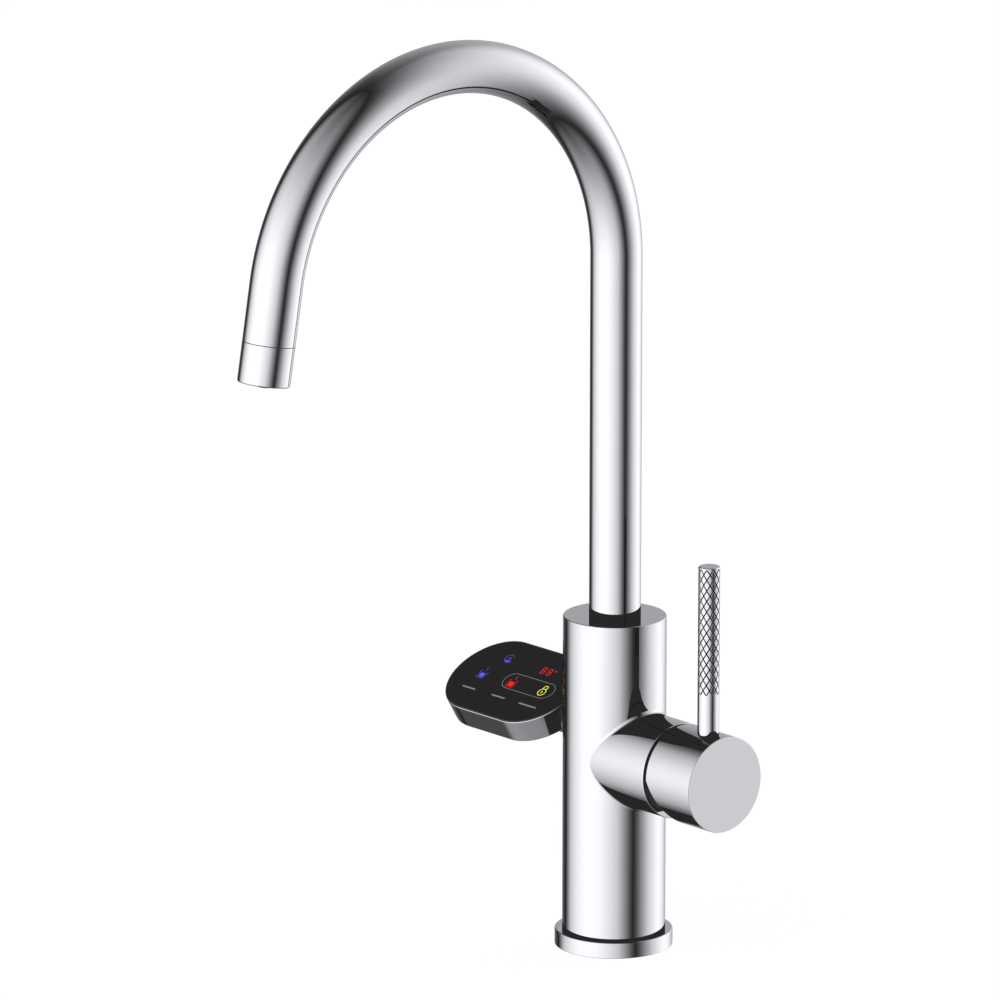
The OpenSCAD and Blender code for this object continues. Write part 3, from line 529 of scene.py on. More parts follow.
# ---- sub-assemblies --------------------------------------------------------
@dataclass
class Column:
    """Upright column with its side boss, and the flange it stands on. Millimetres."""

    radius: float = 24.0
    top: float = 158.0
    top_edge: float = 0.6
    foot: float = 7.7
    spigot_r: float = 21.0
    spigot_z: float = 2.0
    spigot_gap: float = 0.05
    bore_r: float = 19.0
    block_z: float = 60.0
    channel_r: float = 4.5
    socket_r: float = 12.06
    socket_z: float = 118.0
    boss_r: float = 22.5
    boss_x: float = 45.3
    boss_edge: float = 0.4
    boss_z: float = 92.7
    fillet: float = 1.9
    recess: tuple[Point, ...] = ((20.0, 40.0), (19.05, 36.0), (17.5, 14.0))
    window: tuple[float, float] = (84.0, 30.0)
    window_corner: float = 30.0
    window_rows: int = 24
    stop_z: float = 127.5
    stop_r: float = 2.55
    stop_depth: float = 1.4
    stop_half: int = 6
    columns: int = 240
    flange_r: float = 27.5
    flange_edge: float = 0.7
    flange_foot: float = 0.1
    foot_edge: float = 0.3
    gasket_groove: Triple = (23.65, 26.35, 2.5)
    upright: Axis = Axis()

    def build_skin(self, skin: Skin) -> None:
        """Adds the column's outer skin with the stop screw's hole, left open at the boss.

        Args:
            skin: the column's skin.
        """
        step = TURN / self.columns
        low, high = self.boss_z - self.window[1], self.boss_z + self.window[1]
        half = round(math.radians(self.window[0]) / step)
        stops = [self.foot, low, high, 2 * self.stop_z - high, self.top - self.top_edge]
        spans = [(6, 0, 0), (self.window_rows, 0, half),
                 (2 * self.stop_half, self.columns // 4, self.stop_half), (3, 0, 0)]
        skin.walled(self.upright, self.radius, self.columns, stops, spans)
        skin.drill(self.upright, self.radius, (TURN / 4, self.stop_z),
                   (self.stop_half * step, self.stop_z - high), 2 * self.stop_half,
                   self.stop_r, self.radius - self.stop_depth)

    def boss_angles(self, window: np.ndarray) -> np.ndarray:
        """Finds where round the boss each edge point of its window belongs.

        Args:
            window: angles and heights of the edge points.

        Returns:
            Their angles round the boss.
        """
        theta, rise = window[:, 0], window[:, 1] - self.boss_z
        corner, most = math.radians(self.window_corner), math.radians(self.window[0])
        reach = (self.boss_r + self.fillet) / (self.radius + self.fillet)
        limit = math.asin(reach * math.cos(corner))
        side = corner * rise / self.window[1]
        upright = np.where(theta > 0, side, math.pi - side)
        level = np.copysign(np.arccos(np.sin(theta * limit / most) / reach), rise)
        return np.where(np.abs(np.abs(theta) - most) < 1e-9, upright, level)

    def build_boss(self, skin: Skin) -> None:
        """Adds the boss, the rolled fillet at its root and the turned recess in it.

        Args:
            skin: the column's skin.
        """
        half = math.radians(self.window[0])
        count = round(2 * half * self.columns / TURN)
        window = window_loop((0, self.boss_z), (half, self.window[1]), (count, self.window_rows))
        beta = self.boss_angles(window)
        f, r = self.fillet, self.radius
        spoke = np.stack([np.zeros_like(beta), np.cos(beta), np.sin(beta)], axis=-1)
        # middles of a ball that rolls along the boss's root and touches column and boss
        centre = (self.boss_r + f) * spoke
        centre[:, 0] = np.sqrt((r + f) ** 2 - centre[:, 1] ** 2)
        to_column = -centre / (r + f)
        to_column[:, 2] = 0
        centre[:, 2] += self.boss_z
        foot = np.stack([np.arcsin(centre[:, 1] / (r + f)), centre[:, 2]], axis=-1)
        flat = lofted(foot, window, 8)
        skin.grid(self.upright.wall(r, flat[..., 0], flat[..., 1]))
        turn = np.arccos(np.clip(-(to_column * spoke).sum(axis=1), -1, 1))[:, None]
        share = np.linspace(0, 1, 11)[:, None, None]
        way = (np.sin((1 - share) * turn) * to_column - np.sin(share * turn) * spoke) / np.sin(turn)
        skin.grid((centre + f * way, -way))
        root, e = centre - f * spoke, self.boss_edge
        end = root.copy()
        end[:, 0] = self.boss_x - e
        skin.strip(lofted(root, end, 6), spoke)
        corners = [(self.boss_r - e, self.boss_x)]
        for radius, x in self.recess:
            corners += [(radius, corners[-1][1]), (radius, x, 3)]
        corners.append((0.0, corners[-1][1]))
        profile = [edge((self.boss_r, self.boss_x), e), *chain(*corners)]
        skin.turn(Axis.level(self.boss_z), profile, beta)

    def build_column(self) -> None:
        """Builds the column as one closed shell."""
        skin = Skin()
        self.build_skin(skin)
        self.build_boss(skin)
        e, r = self.top_edge, self.radius
        skin.turn(self.upright, [
            edge((r, self.top), e, steps=6),
            *chain((r - e, self.top), (self.socket_r, self.top, 2),
                   (self.socket_r, self.socket_z, 2), (self.channel_r, self.socket_z),
                   (self.channel_r, self.block_z), (self.bore_r, self.block_z),
                   (self.bore_r, self.spigot_z, 4), (self.spigot_r, self.spigot_z),
                   (self.spigot_r, self.foot), (r, self.foot)),
        ], ring_angles(self.columns))
        skin.build("column_shell", Finishes.CHROME, "tap_body", "chrome", "tap_column")

    def build_flange(self) -> None:
        """Builds the base flange with its rounded rims and gasket groove."""
        skin = Skin()
        e, f, g = self.flange_edge, self.flange_foot, self.foot_edge
        inner, outer = self.spigot_r + self.spigot_gap, self.flange_r
        groove_in, groove_out, groove_z = self.gasket_groove
        skin.turn(self.upright, [
            *chain((outer, f + g), (outer, self.foot - e, 2)),
            edge((outer, self.foot), e, steps=8),
            *chain((outer - e, self.foot), (inner, self.foot, 2), (inner, f, 2), (groove_in, f),
                   (groove_in, groove_z), (groove_out, groove_z), (groove_out, f), (outer - g, f)),
            edge((outer, f), g, -90),
        ], ring_angles(self.columns))
        skin.build("base_plate", Finishes.CHROME, "tap_body", "chrome", "base_flange")

    def build(self) -> None:
        """Builds the column and the flange."""
        self.build_column()
        self.build_flange()


@dataclass
class Spout:
    """Swan-neck tube with the outlet sleeve at its end. Millimetres."""

    radius: float = 12.0
    inner_r: float = 10.8
    foot: float = 150.0
    bend_z: float = 327.7
    bend_r: float = 101.5
    bend_angle: float = 170.3
    tip_len: float = 45.2
    sleeve_len: float = 18.2
    seam: float = 0.3
    seam_edge: float = 0.1
    sleeve_in_r: float = 9.5
    sleeve_gap: float = 0.05
    spigot_len: float = 8.0
    rim: float = 0.8
    lip: float = 0.3
    around: int = 160
    outer_steps: tuple[int, int] = (171, 12)
    inner_steps: tuple[int, int] = (57, 4)

    def tip_axis(self) -> Axis:
        """Finds where the straight tip runs.

        Returns:
            Its axis, from the end of the bend to the outlet.
        """
        a =math.radians(self.bend_angle)
        c, s = math.cos(a), math.sin(a)
        origin = (0.0, self.bend_r * (c - 1), self.bend_z + self.bend_r * s)
        return Axis(origin, (0.0, -s, c), (0.0, c, s), (1.0, 0.0, 0.0))

    def wall(self, radius: float, bend_steps: int, run_steps: int) -> Grid:
        """Bends a round wall along the tube's centre line.

        Args:
            radius: the wall's radius.
            bend_steps: faces round the bend.
            run_steps: faces along the upright run.

        Returns:
            Points, and normals away from the centre line.
        """
        tip, end = self.tip_len - self.sleeve_len - self.seam, self.tip_axis()
        hub = Axis((0.0, -self.bend_r, self.bend_z), end.third, (0.0, 1.0, 0.0), (0.0, 0.0, 1.0))
        turn = np.radians(np.linspace(0, self.bend_angle, bend_steps + 1))
        bend, bend_spokes = hub.wall(self.bend_r, turn, 0.0)
        rise = np.linspace(self.foot, self.bend_z, run_steps + 1)[:-1]
        run = np.outer(rise, (0.0, 0.0, 1.0))
        last = np.array(end.origin) + np.outer((tip / 2, tip), end.along)
        centres = np.concatenate([run, bend, last])
        spokes = np.concatenate([np.tile((0.0, 1.0, 0.0), (run_steps, 1)), bend_spokes,
                                 np.tile(end.across, (2, 1))])
        angles = ring_angles(self.around)[None, :, None]
        ways = np.cos(angles) * spokes[:, None] + np.sin(angles) * np.array(end.third)
        return centres[:, None] + radius * ways, ways

    def build_tube(self) -> None:
        """Builds the bent tube with its bore and both ends."""
        skin = Skin()
        outer, out_way = self.wall(self.radius, *self.outer_steps)
        inner, in_way = self.wall(self.inner_r, *self.inner_steps)
        skin.grid((outer, out_way))
        skin.grid((inner, -in_way))
        skin.strip([inner[0], outer[0]], (0.0, 0.0, -1.0))
        skin.strip([inner[-1], outer[-1]], self.tip_axis().along)
        skin.build("swan_neck", Finishes.CHROME, "spout", "chrome", "spout_tube")

    def build_sleeve(self) -> None:
        """Builds the outlet sleeve with its rounded mouth and the spigot inside the tube."""
        skin = Skin()
        start, end = self.tip_len - self.sleeve_len, self.tip_len
        r, inner, e = self.radius, self.sleeve_in_r, self.rim
        spigot, foot = self.inner_r - self.sleeve_gap, start - self.spigot_len
        skin.turn(self.tip_axis(), [
            *chain((spigot, start), (r - self.seam_edge, start)),
            edge((r, start), self.seam_edge, -90, 3),
            *chain((r, start + self.seam_edge), (r, end - e, 4)),
            edge((r, end), e, steps=8),
            *chain((r - e, end), (inner + self.lip, end)),
            edge((inner, end), self.lip, 90, 4),
            *chain((inner, end - self.lip), (inner, foot, 4), (spigot, foot), (spigot, start, 2)),
        ], ring_angles(self.around))
        skin.build("outlet_collar", Finishes.CHROME, "spout", "chrome", "outlet_sleeve")

    def build(self) -> None:
        """Builds the tube and the outlet sleeve."""
        self.build_tube()
        self.build_sleeve()


@dataclass
class Handle:
    """Mixer cap with its sloping inner rim, and the knurled lever. Millimetres."""

    axis_z: float = 92.7
    cap_r: float = 22.5
    cap_in: float = 47.4
    cap_out: float = 76.5
    cap_edge: float = 0.3
    bore_r: float = 20.5
    hollow: float = 60.0
    hub_r: float = 9.0
    hub_x: float = 57.5
    slope: float = 25.6
    rim_edge: float = 0.2
    grub_x: float = 63.0
    grub_r: float = 2.5
    grub_floor: float = 13.9
    grub_window: float = 3.6
    grub_half: int = 6
    columns: int = 240
    lever_x: float = 65.0
    lever_r: float = 5.0
    lever_foot: float = 113.2
    lever_top: float = 194.0
    lever_edge: float = 0.6
    spigot_r: float = 3.0
    spigot_z: float = 103.7
    knurl_low: float = 133.76
    knurl_pitch: float = 4.97
    knurl_tall: int = 12
    knurl_round: int = 10
    knurl_turn: float = 18.0
    knurl_fade: float = 0.5
    groove: float = 0.42
    groove_w: float = 0.13
    # faces deeper than this share of the groove take the painted groove shade
    groove_shade: float = 0.2
    land: Point = (0.22, 0.78)

    def rim_x(self, radius: float, beta: np.ndarray) -> np.ndarray:
        """Returns where the inner rim lies: upright above the axis, sloping away below it."""
        drop = np.maximum(0.0, -radius * np.sin(beta))
        return self.cap_in + drop * math.tan(math.radians(self.slope))

    def build_cap(self) -> None:
        """Builds the cap as one closed shell."""
        skin, axis, beta = Skin(), Axis.level(self.axis_z), ring_angles(self.columns)
        r, e = self.cap_r, self.cap_edge
        low, high = self.grub_x - self.grub_window, self.grub_x + self.grub_window
        stops = [self.rim_x(r, beta) + self.rim_edge, low, high, self.cap_out - e]
        spans = [(6, 0, 0), (2 * self.grub_half, self.columns * 3 // 4, self.grub_half),
                 (4, 0, 0)]
        skin.walled(axis, r, self.columns, stops, spans)
        self.build_rim(skin, axis, beta)
        skin.drill(axis, r, (TURN * 3 / 4, self.grub_x),
                   (self.grub_half * TURN / self.columns, self.grub_window), 2 * self.grub_half,
                   self.grub_r, self.grub_floor)
        skin.turn(axis, [
            edge((r, self.cap_out), e),
            *chain((r - e, self.cap_out), (0.0, self.cap_out)),
            *chain((0.0, self.hub_x), (self.hub_r, self.hub_x), (self.hub_r, self.hollow),
                   (self.bore_r, self.hollow)),
        ], beta)
        skin.build("mixer_cap", Finishes.CHROME, "handle", "chrome", "handle_cap")

    def build_rim(self, skin: Skin, axis: Axis, beta: np.ndarray) -> None:
        """Adds the eased inner rim and the bore behind it.

        Args:
            skin: the cap's skin.
            axis: the cap's axis.
            beta: angles round the cap.
        """
        c, r = self.rim_edge, self.cap_r
        start, back = self.rim_x(r, beta), np.array([-1.0, 0.0, 0.0])
        sharp, spoke = axis.wall(r, beta, start)
        corner_in = axis.wall(r - c, beta, self.rim_x(r - c, beta))[0]
        corner_out = axis.wall(r, beta, start + c)[0]
        turn = np.linspace(0, math.pi / 2, 5)[:, None, None]
        cos, sin = np.cos(turn), np.sin(turn)
        # a quarter round, slanted to the rim's slope
        points = (corner_out + (corner_in - corner_out) * (1 - cos)
                  + (sharp - corner_out) * (sin + cos - 1))
        skin.grid((points, cos * spoke + sin * back))
        tilt = math.radians(self.slope)
        below = np.sin(beta)[:, None] < 0
        slope = np.where(below, np.array([-math.cos(tilt), 0, -math.sin(tilt)]), back)
        mouth = axis.wall(self.bore_r, beta, self.rim_x(self.bore_r, beta))[0]
        skin.strip([corner_in, mouth], slope)
        skin.strip(lofted(mouth, axis.wall(self.bore_r, beta, self.hollow)[0], 3), -spoke)

    def samples(self) -> np.ndarray:
        """Returns the shares across a diamond where its faces meet, close in the grooves."""
        near = self.groove_w * np.linspace(0, 1, 5)
        return np.concatenate([near, np.linspace(*self.land, 5), 1 - near[::-1]])

    def groove_depth(self, s: np.ndarray) -> tuple[np.ndarray, np.ndarray]:
        """Finds how deep the grooves are across the diamonds.

        Args:
            s: a slanting coordinate, whole in the middle of each groove.

        Returns:
            The depth and its slope.
        """
        off = s - np.round(s)
        inside, phase = np.abs(off) < self.groove_w, np.pi * np.abs(off) / self.groove_w
        rate = self.groove * np.pi / (2 * self.groove_w)
        depth = np.where(inside, self.groove * (1 + np.cos(phase)) / 2, 0.0)
        return depth, np.where(inside, -np.sign(off) * rate * np.sin(phase), 0.0)

    def knurled(self, s: np.ndarray, t: np.ndarray) -> Grid:
        """Places points on the knurl.

        Args:
            s: the slanting coordinate that rises with the angle.
            t: the slanting coordinate that falls with the angle.

        Returns:
            Points and normals.
        """
        turn, pitch = TURN / self.knurl_round, self.knurl_pitch
        angle, z = math.radians(self.knurl_turn) + turn * (s + t) / 2, pitch * (s - t) / 2
        (ds, ss), (dt, st) = self.groove_depth(s), self.groove_depth(t)
        ends = np.minimum(z, pitch * self.knurl_tall - z)
        fade = np.clip(ends / self.knurl_fade, 0, 1)
        # where two grooves cross, the deeper one counts
        first = ds >= dt
        slope_s, slope_t = np.where(first, ss, 0) * fade, np.where(first, 0, st) * fade
        radius = self.lever_r - np.maximum(ds, dt) * fade
        round_slope = (slope_s + slope_t) / turn / radius
        up_slope = (slope_s - slope_t) / pitch
        c, q = np.cos(angle), np.sin(angle)
        points = np.stack([self.lever_x + radius * c, radius * q, self.knurl_low + z], axis=-1)
        normals = np.stack([c - round_slope * q, q + round_slope * c, up_slope], axis=-1)
        return points, normals / np.linalg.norm(normals, axis=-1, keepdims=True)

    def knurl_top(self) -> float:
        """Returns the height where the knurl ends."""
        return self.knurl_low + self.knurl_pitch * self.knurl_tall

    def build_lever(self) -> None:
        """Builds the lever pin: foot, plain neck, knurl of raised diamonds and flat top."""
        skin, q = Skin(), self.samples()
        for row in range(2 * self.knurl_tall + 1):
            for k in range(self.knurl_round):
                i = row // 2 + k
                s, t = np.meshgrid(i + q, i - row + q, indexing="ij")
                if 0 < row < 2 * self.knurl_tall:
                    skin.grid(self.knurled(s, t), closed=False)
                else:
                    self.half_diamond(skin, s, t, row == 0)
        turn = TURN / self.knurl_round
        angles = np.concatenate([turn * (k + q[:-1]) for k in range(self.knurl_round)])
        r, e, top = self.lever_r, self.lever_edge, self.lever_top
        skin.turn(Axis((self.lever_x, 0.0, 0.0)), [
            *chain((0.0, self.spigot_z), (self.spigot_r, self.spigot_z),
                   (self.spigot_r, self.lever_foot), (r, self.lever_foot), (r, self.knurl_low, 2)),
            *chain((r, self.knurl_top()), (r, top - e)),
            edge((r, top), e, steps=6),
            *chain((r - e, top), (0.0, top)),
        ], angles + math.radians(self.knurl_turn))
        # the faces deep in the grooves get a near-black finish: painted shade
        skin.build("knurled_lever", Finishes.CHROME, "handle", "chrome", "lever",
                   Finishes.PAINTED_GROOVE_SHADE, self.in_painted_groove_shade)

    def in_painted_groove_shade(self, middles: np.ndarray) -> np.ndarray:
        """Tells which faces lie deep in the knurl's grooves, where shade is painted near black.

        Args:
            middles: the faces' middles.

        Returns:
            True for each face in a groove.
        """
        x, y, z = middles.T
        deep = np.hypot(x - self.lever_x, y) < self.lever_r - self.groove_shade * self.groove
        return deep & (z > self.knurl_low) & (z < self.knurl_top())

    def half_diamond(self, skin: Skin, s: np.ndarray, t: np.ndarray, lower: bool) -> None:
        """Adds the half of a diamond that closes the knurl's end.

        Args:
            skin: the lever's skin.
            s: first slanting coordinate of the diamond's samples.
            t: second slanting coordinate.
            lower: whether this is the lower end, where the upper half stays.
        """
        count = len(s)
        quads = []
        for a, b in np.ndindex(count - 1, count - 1):
            at = a * count + b
            corners = [at, at + 1, at + count + 1, at + count]
            if a == b:
                corners[1 if lower else 3] = at
            if a == b or (a > b) == lower:
                quads.append(corners)
        skin.add(*self.knurled(s, t), np.array(quads))

    def build(self) -> None:
        """Builds the cap and the lever."""
        self.build_cap()
        self.build_lever()


@dataclass
class TouchPanel:
    """Tilted touch panel: housing with a bright rim, glass and stem. Millimetres."""

    centre: Triple = (-67.9, 0.0, 107.2)
    tilt: float = 30.5
    radius: float = 24.1
    flat: float = 30.6
    height: float = 12.1
    rim: float = 0.6
    rim_drop: float = 0.2
    rim_round: float = 0.32
    wall: float = 2.0
    floor: float = 1.8
    foot_edge: float = 0.5
    glass_h: float = 2.0
    glass_gap: float = 0.05
    glass_edge: float = 0.3
    seat_gap: float = 0.4
    stem_r: float = 6.6
    stem_z: float = 100.8
    stem_ends: Point = (-52.0, -22.8)
    stem_faces: int = 128
    thread_r: float = 5.0
    thread_len: float = 4.6
    keel_r: float = 8.0
    keel_ends: Point = (-55.0, -42.0)
    keel_edge: float = 0.6
    keel_sunk: float = 1.0
    round_steps: int = 64

    def turned(self, ways: np.ndarray) -> np.ndarray:
        """Turns panel directions into the tap's own.

        Args:
            ways: directions as parts along, across and out of the panel.

        Returns:
            The same directions in the tap's frame.
        """
        a =math.radians(self.tilt)
        c, s = math.cos(a), math.sin(a)
        x, y, z = ways[..., 0], ways[..., 1], ways[..., 2]
        return np.stack([x, y * c - z * s, y * s + z * c], axis=-1)

    def place(self, points: np.ndarray) -> np.ndarray:
        """Turns panel coordinates into the tap's own."""
        return self.turned(points) + np.array(self.centre)

    def stadium(self, skin: Skin, profile: list[list[Row]]) -> None:
        """Adds stretches of a profile swept round the panel's outline.

        Args:
            skin: the skin that they go into.
            profile: rows with the radius from the core line and the height above the middle.
        """
        half = np.linspace(-90, 90, self.round_steps + 1)
        angles = np.radians(np.concatenate([half, half + 180]))
        side = np.repeat([self.flat / 2, -self.flat / 2], len(half))
        for rows in profile:
            points, normals = Axis().sweep(rows, angles)
            points[..., 0] += side
            skin.grid((self.place(points), self.turned(normals)))

    def build_housing(self) -> None:
        """Builds the housing with its rim, glass seat and hollow, and the keel for the stem."""
        skin = Skin()
        top, low, f = self.height / 2, -self.height / 2, self.foot_edge
        r, e, lip = self.radius, self.rim_round, top - self.rim_drop
        seat_r, ledge = r - self.rim, top - self.glass_h - self.seat_gap
        hollow_r, floor = r - self.wall, low + self.floor
        self.stadium(skin, [
            *chain((0.0, low), (r - f, low)),
            edge((r, low), f, -90),
            *chain((r, low + f), (r, lip - e, 2)),
            edge((r, lip), e),
            *chain((r - e, lip), (seat_r, lip), (seat_r, ledge), (hollow_r, ledge),
                   (hollow_r, floor), (0.0, floor)),
        ])
        self.build_keel(skin)
        skin.build("panel_shell", Finishes.DARK_CHROME, "tap_body", "dark_chrome", "panel_housing")

    def build_keel(self, skin: Skin) -> None:
        """Adds the rounded keel that takes the stem, closed a little inside the floor.

        Args:
            skin: the housing's skin.
        """
        tilt, e, r = math.radians(self.tilt), self.keel_edge, self.keel_r
        out = np.array([0.0, -math.sin(tilt), math.cos(tilt)])
        drop = np.array(self.centre) @ out - self.stem_z * out[2]
        half = math.acos((drop - self.height / 2 + self.keel_sunk) / r)
        base = math.pi / 2 + tilt
        angles = np.linspace(base + half, base + TURN - half, self.round_steps + 1)
        x0, x1 = self.keel_ends
        profile = [
            *chain((0.0, x0), (r - e, x0)),
            edge((r, x0), e, -90),
            *chain((r, x0 + e), (r, x1 - e, 2)),
            edge((r, x1), e),
            *chain((r - e, x1), (0.0, x1)),
        ]
        for rows in profile:
            points, normals = Axis.level(self.stem_z).sweep(rows, angles)
            skin.grid((points, normals), closed=False)
            is_end = rows[0][0] == 0 or rows[-1][0] == 0
            skin.strip(points[:, [0, -1]], normals[0, 0] if is_end else out, closed=False)

    def build_glass(self) -> None:
        """Builds the black glass with its fine bevel."""
        skin = Skin()
        top, e = self.height / 2, self.glass_edge
        r, low = self.radius - self.rim - self.glass_gap, top - self.glass_h
        self.stadium(skin, [
            *chain((0.0, low), (r, low), (r, top - e)),
            edge((r, top), e),
            *chain((r - e, top), (0.0, top)),
        ])
        skin.build("touch_glass", Finishes.GLASS, "tap_body", "black_glass", "panel_glass")

    def build_stem(self) -> None:
        """Builds the stem that carries the panel, with the thread spigot inside the column."""
        skin = Skin()
        x0, x1 = self.stem_ends
        r, thread, x2 = self.stem_r, self.thread_r, x1 + self.thread_len
        profile = chain((0.0, x0), (r, x0), (r, x1, 4), (thread, x1), (thread, x2), (0.0, x2))
        skin.turn(Axis.level(self.stem_z), profile, ring_angles(self.stem_faces))
        skin.build("carrier_stem", Finishes.SATIN_CHROME, "tap_body", "chrome", "panel_stem")

    def build(self) -> None:
        """Builds the panel."""
        self.build_stem()
        self.build_housing()
        self.build_glass()


def bend(centre: Point, radius: float, start: float, end: float, steps: int = 24) -> list[Point]:
    """Returns points along a round stretch, angles in degrees, 0 to the right and 90 up."""
    turn = [math.radians(start + (end - start) * i / steps) for i in range(steps + 1)]
    return [(centre[0] + radius * math.cos(a), centre[1] + radius * math.sin(a)) for a in turn]


@dataclass
class LitMarks:
    """Lit marks and digits on the touch panel's glass, in the glass's own plane. Millimetres."""

    panel: TouchPanel
    thickness: float = 0.03
    gap: float = 0.002
    line: float = 0.17
    # the open ring: its stretch in degrees; its level's inset, depth, ripple and stretch; and
    # its drop's place beside the middle, width and height
    ring_at: Point = (-14.8, 11.85)
    ring_r: float = 2.6
    ring_span: Point = (40.0, 330.0)
    level: Triple = (0.4, 1.2, 0.1)
    level_span: Point = (218.0, 322.0)
    ring_drop: tuple[float, float, float, float] = (0.15, 0.2, 1.0, 1.5)
    drop_shape: float = 0.62
    # the cups: wall, half of the filling, and the steam's sway, start and height
    cups: tuple[Point, Point] = ((-21.0, -1.45), (0.0, -1.45))
    cup_wall: tuple[Point, ...] = ((-2.3, 2.4), (-2.15, -2.45), (2.15, -2.45), (2.3, 2.4))
    filling: tuple[Point, Point] = ((1.35, 0.85), (1.3, -1.75))
    steam: Triple = (0.3, 2.5, 2.3)
    # the padlock: its bow's rise, radius, line and stretch; and its keyhole's rise, radius,
    # length and line
    lock_at: Point = (21.3, -1.3)
    lock_r: float = 2.15
    lock_line: float = 0.36
    bow: Triple = (0.75, 1.25, 0.34)
    bow_span: Point = (-36.0, 216.0)
    key: tuple[float, float, float, float] = (0.25, 0.22, 1.0, 0.3)
    digits: tuple[Point, Point] = ((10.5, 11.1), (14.7, 11.1))
    digit_size: Point = (1.95, 4.1)
    digit_gap: float = 0.14
    digit_line: float = 0.26
    degree_at: Point = (17.9, 12.6)
    degree: Point = (0.42, 0.16)
    pill: tuple[float, float, float, float] = (-6.1, 27.8, -5.1, 4.9)
    pill_line: float = 0.24
    bars: tuple[Point, ...] = ((-21.0, 9.0), (0.0, 9.0), (20.8, 12.0))
    bar_y: float = -11.2
    bar_line: float = 0.8

    def lay(self, skin: Skin, points: np.ndarray, way: np.ndarray) -> None:
        """Adds a grid of faces given in the panel's own directions."""
        normals = np.broadcast_to(way, points.shape)
        skin.grid((self.panel.place(points), self.panel.turned(normals)), closed=False)

    def band(self, skin: Skin, left: list[Point], right: list[Point]) -> None:
        """Adds a thin closed plate between two edge lines.

        Args:
            skin: the skin that it goes into.
            left: points along one edge.
            right: as many points along the other.
        """
        low = self.panel.height / 2 + self.gap
        edges = np.array([left, right], float)
        plate = np.stack([np.concatenate([edges, np.full_like(edges[..., :1], h)], axis=-1)
                          for h in (low + self.thickness, low)], axis=1)
        across = plate[0, 0] - plate[1, 0]
        width = np.linalg.norm(across, axis=1)
        # a pointed end has no width of its own and takes the widest place's direction
        across[width < 1e-6] = across[width.argmax()]
        across /= np.linalg.norm(across, axis=1, keepdims=True)
        up = np.array([0.0, 0.0, 1.0])
        for points, way in ((plate[:, 0], up), (plate[:, 1], -up),
                            (plate[0], across), (plate[1], -across)):
            self.lay(skin, points, way)
        if np.allclose(edges[:, 0], edges[:, -1]):
            return
        middle = plate[:, 0].mean(axis=0)
        for end, step in ((0, 1), (-1, -2)):
            way = middle[end] - middle[step]
            self.lay(skin, plate[:, :, end], way / np.linalg.norm(way))

    def stroke(self, skin: Skin, path: list[Point], width: float, closed: bool = False) -> None:
        """Adds a line of one width along a path.

        Args:
            skin: the skin that it goes into.
            path: points along its middle.
            width: how wide it is.
            closed: whether the last point joins the first.
        """
        points = np.array(path + path[:1] if closed else path, float)
        steps = np.diff(points, axis=0)
        steps /= np.linalg.norm(steps, axis=1, keepdims=True)
        before = np.concatenate([steps[-1:] if closed else steps[:1], steps])
        after = np.concatenate([steps, steps[:1] if closed else steps[-1:]])
        way = before + after
        way /= np.linalg.norm(way, axis=1, keepdims=True)
        stretch = width / 2 / (way * before).sum(axis=1, keepdims=True)
        side = np.stack([-way[:, 1], way[:, 0]], axis=1) * stretch
        self.band(skin, points + side, points - side)

    def ring(self, skin: Skin, centre: Point, radius: float, width: float, steps: int) -> None:
        """Adds a closed round line."""
        self.stroke(skin, bend(centre, radius, 90, 450, steps)[:-1], width, closed=True)

    def drop(self, skin: Skin, at: Point, width: float, height: float) -> None:
        """Adds a water drop, pointed at the top.

        Args:
            skin: the skin that it goes into.
            at: its middle.
            width: how wide it is.
            height: how tall it is.
        """
        share = (1 - np.cos(np.pi * np.arange(13) / 12)) / 2
        half = width / 2 * np.sin(np.pi * (1 - share) ** self.drop_shape)
        rise = at[1] + height * (share - 0.5)
        self.band(skin, *(np.stack([at[0] + s * half, rise], axis=1) for s in (-1, 1)))

    def open_ring(self, skin: Skin) -> None:
        """Adds the open ring with a level and a drop in it.

        Args:
            skin: the skin that it goes into.
        """
        (u, w), r = self.ring_at, self.ring_r
        self.stroke(skin, bend((u, w), r, *self.ring_span, 48), self.line)
        inset, depth, ripple = self.level
        bowl = bend((u, w), r - inset, *self.level_span)
        waves = [(x, w - depth - ripple * math.sin(3 * (x - u))) for x, _ in bowl]
        self.band(skin, bowl, waves)
        x, y, width, height = self.ring_drop
        self.drop(skin, (u + x, w + y), width, height)

    def cup(self, skin: Skin, at: Point) -> None:
        """Adds a tumbler with its filling and steam over it.

        Args:
            skin: the skin that it goes into.
            at: its middle.
        """
        u, w = at
        self.stroke(skin, [(u + x, w + y) for x, y in self.cup_wall], self.line)
        self.band(skin, *([(u + s * x, w + y) for x, y in self.filling] for s in (-1, 1)))
        sway, start, height = self.steam
        steam = [(u + sway * math.sin(TURN * i / 12), w + start + height * i / 12)
                 for i in range(13)]
        self.stroke(skin, steam, self.line)

    def lock(self, skin: Skin) -> None:
        """Adds the round padlock with its bow and keyhole.

        Args:
            skin: the skin that it goes into.
        """
        (u, w), r = self.lock_at, self.lock_r
        rise, bow_r, bow_line = self.bow
        self.ring(skin, (u, w), r, self.lock_line, 48)
        self.stroke(skin, bend((u, w + r + rise), bow_r, *self.bow_span), bow_line)
        rise, key_r, length, key_line = self.key
        self.ring(skin, (u, w + rise), key_r, key_line, 12)
        self.stroke(skin, [(u, w), (u, w - length)], key_line)

    def digit(self, skin: Skin, at: Point) -> None:
        """Adds an eight of seven straight segments.

        Args:
            skin: the skin that it goes into.
            at: its middle.
        """
        (u, w), gap = at, self.digit_gap
        half, rise = self.digit_size[0] / 2, self.digit_size[1] / 2
        for y in (w - rise, w, w + rise):
            self.stroke(skin, [(u - half + gap, y), (u + half - gap, y)], self.digit_line)
        for x in (u - half, u + half):
            for y in (w - rise, w):
                self.stroke(skin, [(x, y + gap), (x, y + rise - gap)], self.digit_line)

